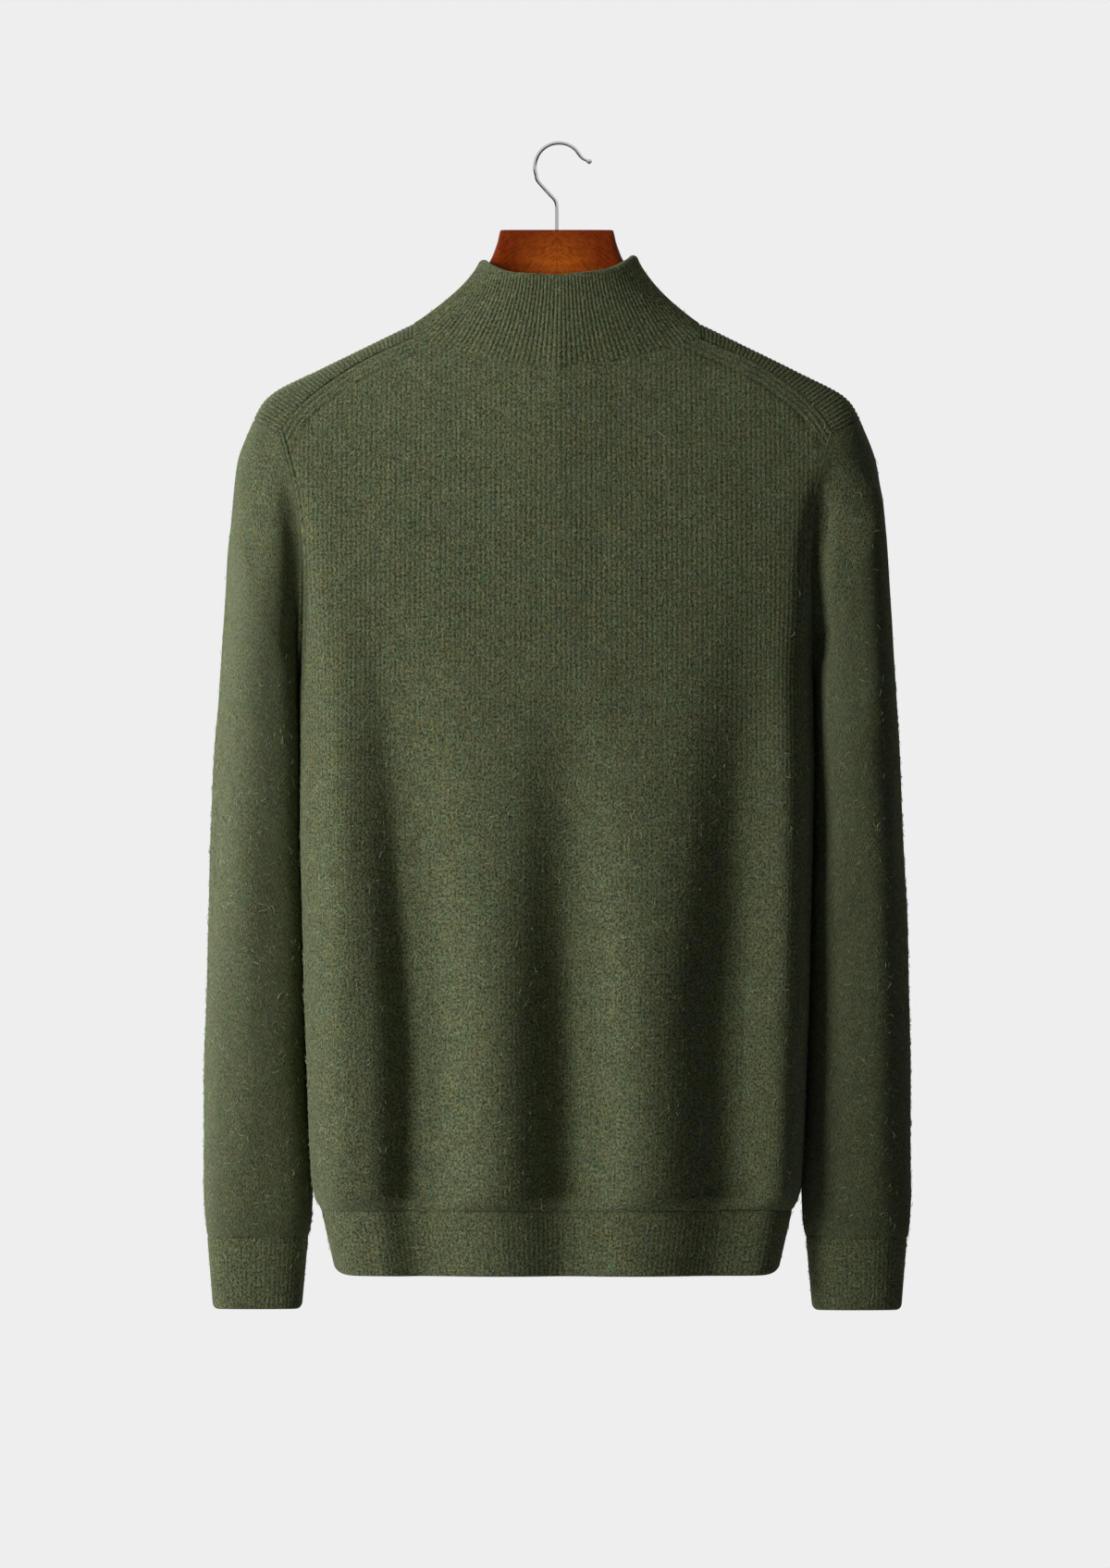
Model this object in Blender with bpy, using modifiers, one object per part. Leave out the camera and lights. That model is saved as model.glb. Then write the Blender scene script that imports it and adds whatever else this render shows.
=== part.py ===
"""A ribbed quarter zip sweater on a wooden hanger.

Metres, +Z up. The origin is the inside top of the hanger's hook. The garment's front
faces -Y, and the wearer's left is at +X. Every panel is a wall between an outer and an
inner grid of points, and panels that are sewn together share the points of their seam.
"""

import math

import bmesh
import bpy
import numpy as np

# Cloth
BODY_WALL = 0.0025
COLLAR_WALL = 0.0035
BAND_WALL = 0.0032
SEAM_GAP = 0.0003
COLLAR_LIFT = 0.0004
RIM_SPLIT_WAY = (0.31, 0.83, 0.47)
RIB_RISE = 0.0007
COLLAR_RIBS = 140
HEM_RIBS = 220
CUFF_RIBS = 60

# Outer columns of a ribbed wall for each column of its plain inside
COLLAR_GROUP = 8
HEM_GROUP = 8
CUFF_GROUP = 4

# Heights
UNDERARM = -0.385
HEM_SEAM = -0.771
HEM_EDGE = -0.818
CUFF_SEAM = -0.791
CUFF_EDGE = -0.844

# Shape of the body's level sections and of the ridge along the shoulders
BODY_POWER = 2.5
SLEEVE_POWER = 2.2
RIDGE_RADIUS = 0.018
RIDGE_BLEND = 4
RIDGE_CLOSENESS = 1.5

# Heights of the body's rows from the hem seam up, and of the even rows above them
GATHERED_LEVELS = (HEM_SEAM, -0.764, -0.755, -0.740)
LOWEST_LEVEL = -0.712
LEVEL_COUNT = 11

# Number of cells in the panels' grids
HALF_WALES = 14
NECK_WALES = 7
BACK_YOKE_ROWS = 10
FRONT_YOKE_ROWS = 12
STRIP_SHARES = (0.4, 1.0)
STRIP_ROWS = len(STRIP_SHARES)
SLEEVE_UPPER_ROWS = 8
SLEEVE_LOWER_ROWS = 6
SLIT_ROWS = 8

ZIP_HALF_GAP = 0.0035

BODY_COLUMNS = ("height", "half_width", "front_depth", "back_depth")
BODY_SECTIONS = (
    (-0.7710, 0.1705, 0.0770, 0.0710),
    (-0.7640, 0.1742, 0.0820, 0.0760),
    (-0.7550, 0.1768, 0.0845, 0.0785),
    (-0.7400, 0.1780, 0.0855, 0.0795),
    (-0.6860, 0.1805, 0.0865, 0.0805),
    (-0.6000, 0.1835, 0.0880, 0.0820),
    (-0.4710, 0.1862, 0.0900, 0.0830),
    (-0.3850, 0.1862, 0.0900, 0.0830),
    (-0.3400, 0.1940, 0.0895, 0.0830),
    (-0.2900, 0.2060, 0.0885, 0.0825),
    (-0.2320, 0.2190, 0.0875, 0.0820),
    (-0.2000, 0.2205, 0.0870, 0.0820),
    (-0.0700, 0.2205, 0.0870, 0.0820),
)

# The line along the top of the shoulders. Its first rows lie inside the collar.
RIDGE_COLUMNS = ("across", "height")
RIDGE = (
    (0.0000, -0.0790),
    (0.0600, -0.1085),
    (0.1040, -0.1300),
    (0.1370, -0.1457),
    (0.1740, -0.1640),
    (0.2037, -0.1787),
    (0.2130, -0.1870),
    (0.2198, -0.1990),
    (0.2260, -0.2120),
)

# Seams of the wearer's left half, as (across, height)
BACK_NECK = (
    (0.0000, -0.1615),
    (0.0410, -0.1583),
    (0.0640, -0.1530),
    (0.0830, -0.1478),
    (0.1045, -0.1400),
)
BACK_SHOULDER = (
    (0.1045, -0.1400),
    (0.1420, -0.1570),
    (0.1715, -0.1765),
    (0.1900, -0.1940),
    (0.2000, -0.2095),
)
FRONT_NECK = (
    (0.0035, -0.1900),
    (0.0320, -0.1872),
    (0.0620, -0.1755),
    (0.0860, -0.1560),
    (0.1040, -0.1300),
)
RIDGE_END = (0.2198, -0.1990)
BACK_ARMHOLE = (
    (0.1862, -0.3850),
    (0.1843, -0.3450),
    (0.1838, -0.3000),
    (0.1876, -0.2590),
    (0.1950, -0.2270),
    (0.2000, -0.2095),
)
FRONT_ARMHOLE = (
    (0.1862, -0.3850),
    (0.1832, -0.3450),
    (0.1806, -0.3000),
    (0.1838, -0.2600),
    (0.1930, -0.2280),
    (0.2060, -0.2085),
    (0.2198, -0.1990),
)

# Folds that hang down the lower body. Side is 1 on the back and -1 on the front. A fold
# starts at top_height, has its whole depth from full_height down, and leans from across_top
# to across_low. A negative depth is a trough and a positive one a ridge.
FOLD_COLUMNS = ("side", "across_top", "across_low", "top_height", "full_height", "half_width", "depth")
FOLDS = (
    (1, 0.098, 0.110, -0.431, -0.735, 0.034, -0.0125),
    (1, 0.008, -0.001, -0.490, -0.735, 0.032, -0.0105),
    (1, -0.112, -0.121, -0.364, -0.700, 0.035, -0.0145),
    (1, 0.147, 0.150, -0.440, -0.735, 0.021, 0.0040),
    (1, 0.048, 0.052, -0.450, -0.735, 0.028, 0.0060),
    (1, -0.056, -0.062, -0.420, -0.735, 0.029, 0.0070),
    (1, -0.158, -0.162, -0.400, -0.720, 0.019, 0.0035),
    (-1, 0.118, 0.128, -0.400, -0.720, 0.033, -0.0120),
    (-1, 0.026, 0.016, -0.470, -0.735, 0.031, -0.0095),
    (-1, -0.084, -0.098, -0.440, -0.730, 0.035, -0.0130),
    (-1, 0.072, 0.074, -0.430, -0.735, 0.027, 0.0060),
    (-1, -0.030, -0.036, -0.450, -0.735, 0.028, 0.0065),
    (-1, -0.144, -0.150, -0.450, -0.735, 0.021, 0.0040),
)
FOLD_HOLD = -0.752
FOLD_LEFT_AT_HEM = 0.35

SLEEVE_COLUMNS = ("height", "inner", "outer", "centre_depth", "half_depth")
SLEEVE_SECTIONS = (
    (-0.1990, 0.1900, 0.2198, 0.000, 0.046),
    (-0.2320, 0.1870, 0.2325, -0.002, 0.054),
    (-0.2700, 0.1860, 0.2368, -0.005, 0.057),
    (-0.3380, 0.1880, 0.2420, -0.008, 0.058),
    (-0.3850, 0.1898, 0.2455, -0.011, 0.058),
    (-0.4300, 0.1885, 0.2482, -0.015, 0.057),
    (-0.4710, 0.1868, 0.2502, -0.018, 0.055),
    (-0.5800, 0.1835, 0.2545, -0.023, 0.051),
    (-0.6860, 0.1800, 0.2568, -0.025, 0.046),
    (-0.7520, 0.1772, 0.2568, -0.026, 0.041),
    (-0.7790, 0.1782, 0.2553, -0.026, 0.037),
    (-0.7910, 0.1805, 0.2540, -0.026, 0.034),
)
SLEEVE_SETTLE_LOW = 0.022
SLEEVE_SETTLE_HIGH = 0.100
SLEEVE_CLOSENESS = 1.1
SLEEVE_SPLIT = -0.530
CUFF_LOW_INNER = 0.1850
CUFF_LOW_OUTER = 0.2500
CUFF_LOW_HALF_DEPTH = 0.025
CUFF_CORNER_LIFT = 0.003

# The hem's edge as shares of its seam's width and depth, and its rise at the two sides
HEM_WIDTH_SHARE = 0.9445
HEM_DEPTH_SHARE = 0.92
HEM_SIDE_LIFT = 0.0035
HEM_LIFT_POWER = 10

# The collar's rim, seen from above, and its height from the front to the side to the back
RIM_HALF_WIDTH = 0.0585
RIM_HALF_DEPTH = 0.0505
RIM_CENTRE_DEPTH = -0.0075
RIM_POWER = 2.15
RIM_COLUMNS = ("turn", "height")
RIM_HEIGHTS = (
    (0.00, -0.1185),
    (0.15, -0.1150),
    (0.30, -0.1030),
    (0.42, -0.0885),
    (0.52, -0.0815),
    (0.64, -0.0850),
    (0.80, -0.0905),
    (1.00, -0.0932),
)
COLLAR_ROWS = 3
COLLAR_FLARE = 1.3

# Zip. Its heights are measured down from the collar's rim and up from the slit's foot.
TAPE_REACH = 0.0085
TAPE_THICKNESS = 0.0007
TAPE_BELOW_RIM = 0.0016
CHAIN_BELOW_RIM = 0.0048
CHAIN_HALF_WIDTH = 0.0026
CHAIN_THICKNESS = 0.0022
STOP_ABOVE_FOOT = 0.0006
STOP_HEIGHT = 0.0036
STOP_HALF_WIDTH = 0.0030
TOP_STOP_HEIGHT = 0.0027
TOP_STOP_SPAN = (0.0004, 0.0027)
SLIDER_BELOW_RIM = 0.0130
SLIDER_SIZE = (0.0084, 0.0018, 0.0110)
SLIDER_CORE_WIDTH = 0.0044
SLIDER_CORE_HEIGHT = 0.0080
EAR_SIZE = (0.0011, 0.0034, 0.0036)
EAR_OFFSET = 0.0023
EAR_SINK = 0.0004
HINGE_RISE = 0.0019
HINGE_ABOVE_CENTRE = 0.0022
PIN_RADIUS = 0.0006
EYE_RADIUS = 0.0015
EYE_BORE = 0.0009
EYE_LENGTH = 0.0028
PULL_NECK_HEIGHT = 0.0054
PULL_SIZE = (0.0066, 0.0014, 0.0240)
METAL_ROUNDING = 0.0005

# Hanger. The stem's places are (across, height), and the hook's arc follows them.
WIRE_RADIUS = 0.0012
STEM_DEPTH = 0.020
STEM_BEND = (
    (0.0000, -0.0480),
    (0.0002, -0.0435),
    (0.0012, -0.0402),
    (0.0048, -0.0362),
    (0.0098, -0.0308),
    (0.0139, -0.0258),
)
HOOK_RADIUS = 0.0174
HOOK_CENTRE_ACROSS = -0.0015
HOOK_ARC = range(-18, 165, 14)
ARC_SAGITTA = 0.00007
# Columns: across, height, swell of the wire
HOOK_TIP = (
    (-0.0170, -0.0078, 1.00),
    (-0.0195, -0.0104, 1.00),
    (-0.0214, -0.0114, 1.00),
    (-0.0222, -0.0117, 1.45),
    (-0.0233, -0.0121, 1.60),
    (-0.0243, -0.0124, 1.00),
)
WOOD_COLUMNS = ("across", "top", "bottom", "half_thickness", "power")
WOOD_SECTIONS = (
    (0.0000, -0.0616, -0.1290, 0.0080, 6.0),
    (0.0200, -0.0616, -0.1292, 0.0080, 6.0),
    (0.0380, -0.0616, -0.1300, 0.0080, 6.0),
    (0.0408, -0.0620, -0.1303, 0.0080, 6.0),
    (0.0428, -0.0700, -0.1306, 0.0080, 5.5),
    (0.0478, -0.0830, -0.1315, 0.0080, 5.0),
    (0.0540, -0.0925, -0.1330, 0.0080, 4.5),
    (0.0620, -0.1030, -0.1352, 0.0079, 4.0),
    (0.0730, -0.1142, -0.1390, 0.0078, 3.5),
    (0.0880, -0.1270, -0.1455, 0.0074, 2.8),
    (0.1000, -0.1364, -0.1520, 0.0070, 2.2),
    (0.1120, -0.1398, -0.1575, 0.0070, 2.2),
    (0.1300, -0.1462, -0.1665, 0.0071, 2.2),
    (0.1560, -0.1586, -0.1800, 0.0071, 2.2),
    (0.1800, -0.1706, -0.1920, 0.0070, 2.2),
    (0.1960, -0.1800, -0.1990, 0.0066, 2.2),
    (0.2010, -0.1860, -0.1980, 0.0054, 2.2),
)
SQUARE_POWER = 3.6
WOOD_SIDES = 12

# Colours and finishes: colour, roughness, metallic
WOOL = ((0.070, 0.090, 0.040, 1.0), 0.95, 0.0)
TAPE = ((0.040, 0.055, 0.028, 1.0), 0.90, 0.0)
STEEL = ((0.60, 0.60, 0.60, 1.0), 0.25, 1.0)
WOOD = ((0.220, 0.050, 0.020, 1.0), 0.30, 0.0)


# ---------------------------------------------------------------- tables and curves


def table_value(rows, columns, key, name, at):
    """A smooth curve through one column of a table, read at the key value at."""
    keys = np.array([row[columns.index(key)] for row in rows], float)
    values = np.array([row[columns.index(name)] for row in rows], float)
    order = np.argsort(keys)
    keys, values = keys[order], values[order]
    steps = np.diff(keys)
    slopes = np.diff(values) / steps
    tangents = np.empty_like(values)
    tangents[0], tangents[-1] = slopes[0], slopes[-1]
    inner = slopes[:-1] * slopes[1:]
    mean = 2 * inner / np.where(inner > 0, slopes[:-1] + slopes[1:], 1)
    tangents[1:-1] = np.where(inner > 0, mean, 0)
    at = np.clip(np.asarray(at, float), keys[0], keys[-1])
    cell = np.clip(np.searchsorted(keys, at) - 1, 0, len(steps) - 1)
    step = steps[cell]
    t = (at - keys[cell]) / step
    rise = values[cell] * (2 * t**3 - 3 * t**2 + 1) + values[cell + 1] * (3 * t**2 - 2 * t**3)
    lean = tangents[cell] * (t**3 - 2 * t**2 + t) + tangents[cell + 1] * (t**3 - t**2)
    return rise + step * lean


def smoothstep(value):
    value = np.clip(value, 0, 1)
    return value * value * (3 - 2 * value)


def smooth_min(a, b, power):
    total = (a**power + b**power) ** (1 / power)
    return a * b / np.maximum(total, 1e-9)


def unit(vectors):
    length = np.linalg.norm(vectors, axis=-1, keepdims=True)
    return vectors / np.maximum(length, 1e-12)


def dense_curve(points, per_span=24):
    """A Catmull-Rom curve through a few points."""
    points = np.array(points, float)
    padded = np.vstack([2 * points[0] - points[1], points, 2 * points[-1] - points[-2]])
    out = []
    for i in range(len(points) - 1):
        a, b, c, d = padded[i : i + 4]
        square, cube = 2 * a - 5 * b + 4 * c - d, 3 * b - a - 3 * c + d
        for t in np.arange(per_span) / per_span:
            out.append(b + ((c - a) * t + square * t**2 + cube * t**3) / 2)
    out.append(points[-1])
    return np.array(out)


def lengths_along(points):
    steps = np.linalg.norm(np.diff(points, axis=0), axis=1)
    return np.concatenate([[0], np.cumsum(steps)])


def read_along(points, values, places):
    """Values given at a polyline's points, read at distances along it."""
    along = lengths_along(points)
    columns = [np.interp(places, along, column) for column in values.T]
    return np.stack(columns, axis=1)


def even_points(points, cells):
    """A smooth curve through a few points, cut into cells of equal length."""
    curve = dense_curve(points)
    return read_along(curve, curve, np.linspace(0, lengths_along(curve)[-1], cells + 1))


# ---------------------------------------------------------------- shape of the body


def ridge_height(across):
    return table_value(RIDGE, RIDGE_COLUMNS, "across", "height", np.abs(across))


def body_half_width(height):
    return table_value(BODY_SECTIONS, BODY_COLUMNS, "height", "half_width", height)


def fold_depth(across, height, side):
    """How far the folds push the cloth out, at points of one side of the body."""
    total = np.zeros(np.shape(across))
    for row in FOLDS:
        fold = dict(zip(FOLD_COLUMNS, row))
        if fold["side"] != side:
            continue
        share = np.clip((fold["top_height"] - height) / (fold["top_height"] - fold["full_height"]), 0, 1)
        centre = fold["across_top"] + (fold["across_low"] - fold["across_top"]) * share
        total += fold["depth"] * smoothstep(share) * np.exp(-(((across - centre) / fold["half_width"]) ** 2))
    gathered = smoothstep((FOLD_HOLD - height) / (FOLD_HOLD - HEM_SEAM))
    return total * (1 - (1 - FOLD_LEFT_AT_HEM) * gathered)


def body_depth(across, height, side):
    """Distance from the side seams' plane to the cloth of one side, 1 back or -1 front."""
    name = "back_depth" if side > 0 else "front_depth"
    width = body_half_width(height)
    share = np.clip(1 - (np.abs(across) / width) ** BODY_POWER, 0, 1) ** (1 / BODY_POWER)
    oval = table_value(BODY_SECTIONS, BODY_COLUMNS, "height", name, height) * share
    tent = np.sqrt(2 * RIDGE_RADIUS * np.clip(ridge_height(across) - height, 0, None))
    edge = np.clip(1 - (np.abs(across) / width) ** 6, 0, 1)
    return smooth_min(oval, tent, RIDGE_BLEND) + edge * fold_depth(across, height, side)


def wale_shares():
    """Places of one half's wales as shares of the half width, even along a level section."""
    turn = np.linspace(0, math.pi / 2, 2001)
    width = body_half_width(UNDERARM)
    depth = table_value(BODY_SECTIONS, BODY_COLUMNS, "height", "back_depth", UNDERARM)
    x = width * np.sin(turn) ** (2 / BODY_POWER)
    y = depth * np.cos(turn) ** (2 / BODY_POWER)
    along = lengths_along(np.stack([x, y], axis=1))
    places = np.linspace(0, along[-1], HALF_WALES + 1)
    return np.interp(places, along, x) / width


def body_levels():
    """Heights of the rows from the hem seam to the underarm, closer where the cloth blouses."""
    return np.array(GATHERED_LEVELS + tuple(np.linspace(LOWEST_LEVEL, UNDERARM, LEVEL_COUNT)))


LOWER_ROWS = len(body_levels()) - 1
RIDGE_ROW = LOWER_ROWS + FRONT_YOKE_ROWS


class Panel:
    """A grid of outer points, with the normals along which its wall is thickened."""

    def __init__(self, points, wrap=False, outward=1):
        self.points = points
        self.wrap = wrap
        self.normals = grid_normals(points, wrap) * outward
        self.shift = np.zeros_like(points)
        cells = points.shape[1] if wrap else points.shape[1] - 1
        self.kept = np.ones((points.shape[0] - 1, cells), bool)

    def outer(self):
        return self.points + self.shift

    def inner(self, thickness):
        return self.points + self.shift - thickness * self.normals


def grid_normals(points, wrap=False):
    along = np.gradient(points, axis=0)
    if wrap:
        across = np.roll(points, -1, axis=1) - np.roll(points, 1, axis=1)
    else:
        across = np.gradient(points, axis=1)
    return unit(np.cross(across, along))


def yoke_rows(bottom, top, edge_points, shares):
    """Points (across, height) between a bottom line, a top line and the armhole's edge."""
    hold = (np.arange(len(bottom)) / (len(bottom) - 1)) ** 3
    curve = dense_curve(edge_points)
    edge = read_along(curve, curve, shares * lengths_along(curve)[-1])
    out = []
    for share, corner in zip(shares, edge):
        plain = (1 - share) * bottom + share * top
        out.append(plain + hold[:, None] * (corner - plain[-1]))
    return out


def lift(rows, side):
    """Three dimensional points of rows of (across, height) points on one side of the body."""
    flat = np.array(rows)
    depth = body_depth(flat[..., 0], flat[..., 1], side)
    return np.stack([flat[..., 0], side * depth, flat[..., 1]], axis=-1)


def mirror_columns(rows, shared_centre):
    """Adds the wearer's right half to rows of the left half, from right to left."""
    out = []
    for row in rows:
        row = np.array(row)
        other = row[::-1] * (-1, 1)
        out.append(np.vstack([other[:-1] if shared_centre else other, row]))
    return out


def lower_half(centre_gap):
    shares = wale_shares()
    rows = []
    for height in body_levels():
        across = body_half_width(height) * shares
        across[0] = centre_gap
        rows.append(np.stack([across, np.full(len(across), height)], axis=1))
    return rows


def back_panel():
    rows = lower_half(0.0)
    neck = even_points(BACK_NECK, NECK_WALES)
    shoulder = even_points(BACK_SHOULDER, HALF_WALES - NECK_WALES)
    top = np.vstack([neck, shoulder[1:]])
    shares = np.arange(1, BACK_YOKE_ROWS + 1) / BACK_YOKE_ROWS
    rows += yoke_rows(rows[-1], top, BACK_ARMHOLE, shares)
    return Panel(lift(mirror_columns(rows, True), 1), outward=-1), top


def front_panel(back_top):
    """The front, which goes over the shoulders and ends at the seam on the back."""
    rows = lower_half(ZIP_HALF_GAP)
    neck = even_points(FRONT_NECK, NECK_WALES)
    ridge_across = np.linspace(neck[-1][0], RIDGE_END[0], HALF_WALES - NECK_WALES + 1)
    ridge = np.stack([ridge_across, ridge_height(ridge_across)], axis=1)
    top = np.vstack([neck, ridge[1:]])
    shares = 1 - (1 - np.arange(1, FRONT_YOKE_ROWS + 1) / FRONT_YOKE_ROWS) ** RIDGE_CLOSENESS
    rows += yoke_rows(rows[-1], top, FRONT_ARMHOLE, shares)
    strip = [top + (back_top - top) * share for share in STRIP_SHARES]
    front = lift(mirror_columns(rows, False), -1)
    behind = lift(mirror_columns(strip, False), 1)
    panel = Panel(np.concatenate([front, behind]))
    middle = HALF_WALES
    panel.kept[RIDGE_ROW:, HALF_WALES - NECK_WALES : HALF_WALES + 1 + NECK_WALES] = False
    panel.kept[RIDGE_ROW - SLIT_ROWS :, middle] = False
    neck_columns = slice(HALF_WALES - NECK_WALES + 1, HALF_WALES + 1 + NECK_WALES)
    one_sided = grid_normals(panel.points[: RIDGE_ROW + 1])
    panel.normals[RIDGE_ROW, neck_columns] = one_sided[RIDGE_ROW, neck_columns]
    return panel


# ---------------------------------------------------------------- seams


def set_seam(places, normals, across, sides):
    """Gives the points of a seam their shared normals, and parts its pieces by the gap."""
    for refs, normal, way in zip(places, normals, across):
        for panel, row, column in refs:
            panel.normals[row, column] = normal
            panel.shift[row, column] += sides[id(panel)] * way * SEAM_GAP / 2


def mean_normals(places):
    sums = [sum(panel.normals[row, column] for panel, row, column in refs) for refs in places]
    return unit(np.array(sums))


def seam_points(places):
    return np.array([refs[0][0].points[refs[0][1], refs[0][2]] for refs in places])


def open_tangents(points):
    return unit(np.gradient(points, axis=0))


def closed_tangents(points):
    return unit(np.roll(points, -1, axis=0) - np.roll(points, 1, axis=0))


def sew_sides(front, back):
    for column in (0, -1):
        places = [[(front, row, column), (back, row, column)] for row in range(LOWER_ROWS + 1)]
        ways = np.tile((0.0, 1.0, 0.0), (len(places), 1))
        set_seam(places, mean_normals(places), ways, {id(front): -1, id(back): 1})


def front_column(wale, half):
    """Column of the front's grid for a wale counted from the centre, on half 1 or -1."""
    return HALF_WALES + 1 + wale if half > 0 else HALF_WALES - wale


def sew_shoulders(front, back):
    for half in (1, -1):
        places = [
            [(front, -1, front_column(wale, half)), (back, -1, HALF_WALES + half * wale)]
            for wale in range(NECK_WALES, HALF_WALES + 1)
        ]
        normals = mean_normals(places)
        ways = unit(np.cross(normals, open_tangents(seam_points(places))))
        ways *= np.sign(ways[:, 2:3])
        set_seam(places, normals, ways, {id(front): 1, id(back): -1})


def armhole_places(front, back, half):
    """The armhole's points from the underarm up the back, over the shoulder and down the front."""
    edge_back = HALF_WALES + half * HALF_WALES
    edge_front = front_column(HALF_WALES, half)
    places = [[(front, LOWER_ROWS, edge_front), (back, LOWER_ROWS, edge_back)]]
    places += [[(back, LOWER_ROWS + row, edge_back)] for row in range(1, BACK_YOKE_ROWS)]
    places += [[(back, -1, edge_back), (front, -1, edge_front)]]
    places += [[(front, row, edge_front)] for row in range(RIDGE_ROW + STRIP_ROWS - 1, LOWER_ROWS, -1)]
    return places


def neck_places(front, back):
    """The neck's points from the zip, round the wearer's left side and the back, to the zip."""
    left = [[(front, RIDGE_ROW, front_column(wale, 1))] for wale in range(NECK_WALES + 1)]
    left += [[(front, RIDGE_ROW + 1, front_column(NECK_WALES, 1))]]
    left += [[(front, -1, front_column(NECK_WALES, 1)), (back, -1, HALF_WALES + NECK_WALES)]]
    middle = [[(back, -1, HALF_WALES + wale)] for wale in range(NECK_WALES - 1, -NECK_WALES, -1)]
    right = [[(front, RIDGE_ROW, front_column(wale, -1))] for wale in range(NECK_WALES + 1)]
    right += [[(front, RIDGE_ROW + 1, front_column(NECK_WALES, -1))]]
    right += [[(front, -1, front_column(NECK_WALES, -1)), (back, -1, HALF_WALES - NECK_WALES)]]
    return left + middle + right[::-1]


def level_seam(places, lift_way):
    """Normals of a level seam lie flat, so that the two pieces' edges face each other."""
    normals = mean_normals(places)
    normals[:, 2] = 0
    normals = unit(normals)
    ways = np.tile((0.0, 0.0, lift_way), (len(places), 1))
    return normals, ways


# ---------------------------------------------------------------- sleeves


def sleeve_ring(height, half):
    """Points round the sleeve from its inner side over the back, each at its own height."""

    def read(name):
        return table_value(SLEEVE_SECTIONS, SLEEVE_COLUMNS, "height", name, height)

    turn = 2 * math.pi * np.arange(len(height)) / len(height)
    cosine, sine = np.cos(turn), np.sin(turn)
    reach = (np.abs(cosine) ** SLEEVE_POWER + np.abs(sine) ** SLEEVE_POWER) ** (-1 / SLEEVE_POWER)
    centre, half_width = (read("outer") + read("inner")) / 2, (read("outer") - read("inner")) / 2
    across = half * (centre - half_width * cosine * reach)
    deep = read("centre_depth") + read("half_depth") * sine * reach
    return np.stack([across, deep, height], axis=1)


def sleeve_points(start, half):
    """Rings from the armhole's loop over the level split to the level cuff seam."""
    top = start[:, 2]
    miss = start - sleeve_ring(top, half)
    rise = (top - top.min()) / (top.max() - top.min())
    settle = SLEEVE_SETTLE_LOW + (SLEEVE_SETTLE_HIGH - SLEEVE_SETTLE_LOW) * rise
    upper = (np.arange(1, SLEEVE_UPPER_ROWS + 1) / SLEEVE_UPPER_ROWS) ** SLEEVE_CLOSENESS
    heights = [top + (SLEEVE_SPLIT - top) * share for share in upper]
    lower = np.arange(1, SLEEVE_LOWER_ROWS + 1) / SLEEVE_LOWER_ROWS
    heights += [np.full_like(top, SLEEVE_SPLIT + (CUFF_SEAM - SLEEVE_SPLIT) * share) for share in lower]
    rings = [start]
    for height in heights:
        settled = smoothstep((top - height) / settle)[:, None]
        rings.append(sleeve_ring(height, half) + miss * (1 - settled))
    return np.array(rings)


def sleeve_panel(front, back, half):
    places = armhole_places(front, back, half)
    start = seam_points(places)
    sleeve = Panel(sleeve_points(start, half), wrap=True, outward=half)
    axis = unit(np.array([half, 0.0, -0.1]))
    tangents = closed_tangents(start)
    normals = unit(np.cross(tangents, axis))
    centre = start.mean(axis=0)
    normals *= np.sign(np.sum(normals * (start - centre), axis=1, keepdims=True))
    ways = unit(np.cross(normals, tangents))
    ways *= np.sign(ways @ axis)[:, None]
    for spot, refs in enumerate(places):
        refs.append((sleeve, 0, spot))
    set_seam(places, normals, ways, {id(front): -1, id(back): -1, id(sleeve): 1})
    low = [[(sleeve, -1, spot)] for spot in range(len(start))]
    low_normals, low_ways = level_seam(low, 1.0)
    set_seam(low, low_normals, low_ways, {id(sleeve): 1})
    sleeve.normals[SLEEVE_UPPER_ROWS, :, 2] = 0
    sleeve.normals[SLEEVE_UPPER_ROWS] = unit(sleeve.normals[SLEEVE_UPPER_ROWS])
    return sleeve


def some_rows(panel, first, last, split_row, way):
    """A panel of some of another panel's rows, with half the gap at the row where it is split."""
    piece = Panel(panel.points[first : last + 1], wrap=panel.wrap)
    piece.normals = panel.normals[first : last + 1].copy()
    piece.shift = panel.shift[first : last + 1].copy()
    piece.shift[split_row, :, 2] += way * SEAM_GAP / 2
    return piece


def build_sleeve(name, sleeve):
    """One sleeve in two solids, so that its collision pieces keep the arm's way open."""
    upper = some_rows(sleeve, 0, SLEEVE_UPPER_ROWS, -1, 1)
    lower = some_rows(sleeve, SLEEVE_UPPER_ROWS, SLEEVE_UPPER_ROWS + SLEEVE_LOWER_ROWS, 0, -1)
    wall(name, upper, BODY_WALL, WOOL)
    wall(name + "_lower", lower, BODY_WALL, WOOL)


# ---------------------------------------------------------------- ribbed pieces


def rim_curve(count):
    """The collar's rim from the zip, round the wearer's left side, to the zip."""
    turn = np.linspace(0, 2 * math.pi, 4001)
    power = 2 / RIM_POWER
    sine, cosine = np.sin(turn), np.cos(turn)
    across = RIM_HALF_WIDTH * np.sign(sine) * np.abs(sine) ** power
    deep = RIM_CENTRE_DEPTH - RIM_HALF_DEPTH * np.sign(cosine) * np.abs(cosine) ** power
    plan = np.stack([across, deep], axis=1)
    along = lengths_along(plan)
    gap = ZIP_HALF_GAP
    places = np.linspace(gap, along[-1] - gap, count)
    share = np.linspace(0, 1, count)
    height = table_value(RIM_HEIGHTS, RIM_COLUMNS, "turn", "height", 1 - np.abs(2 * share - 1))
    level = read_along(plan, plan, places)
    return np.column_stack([level, height])


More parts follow.
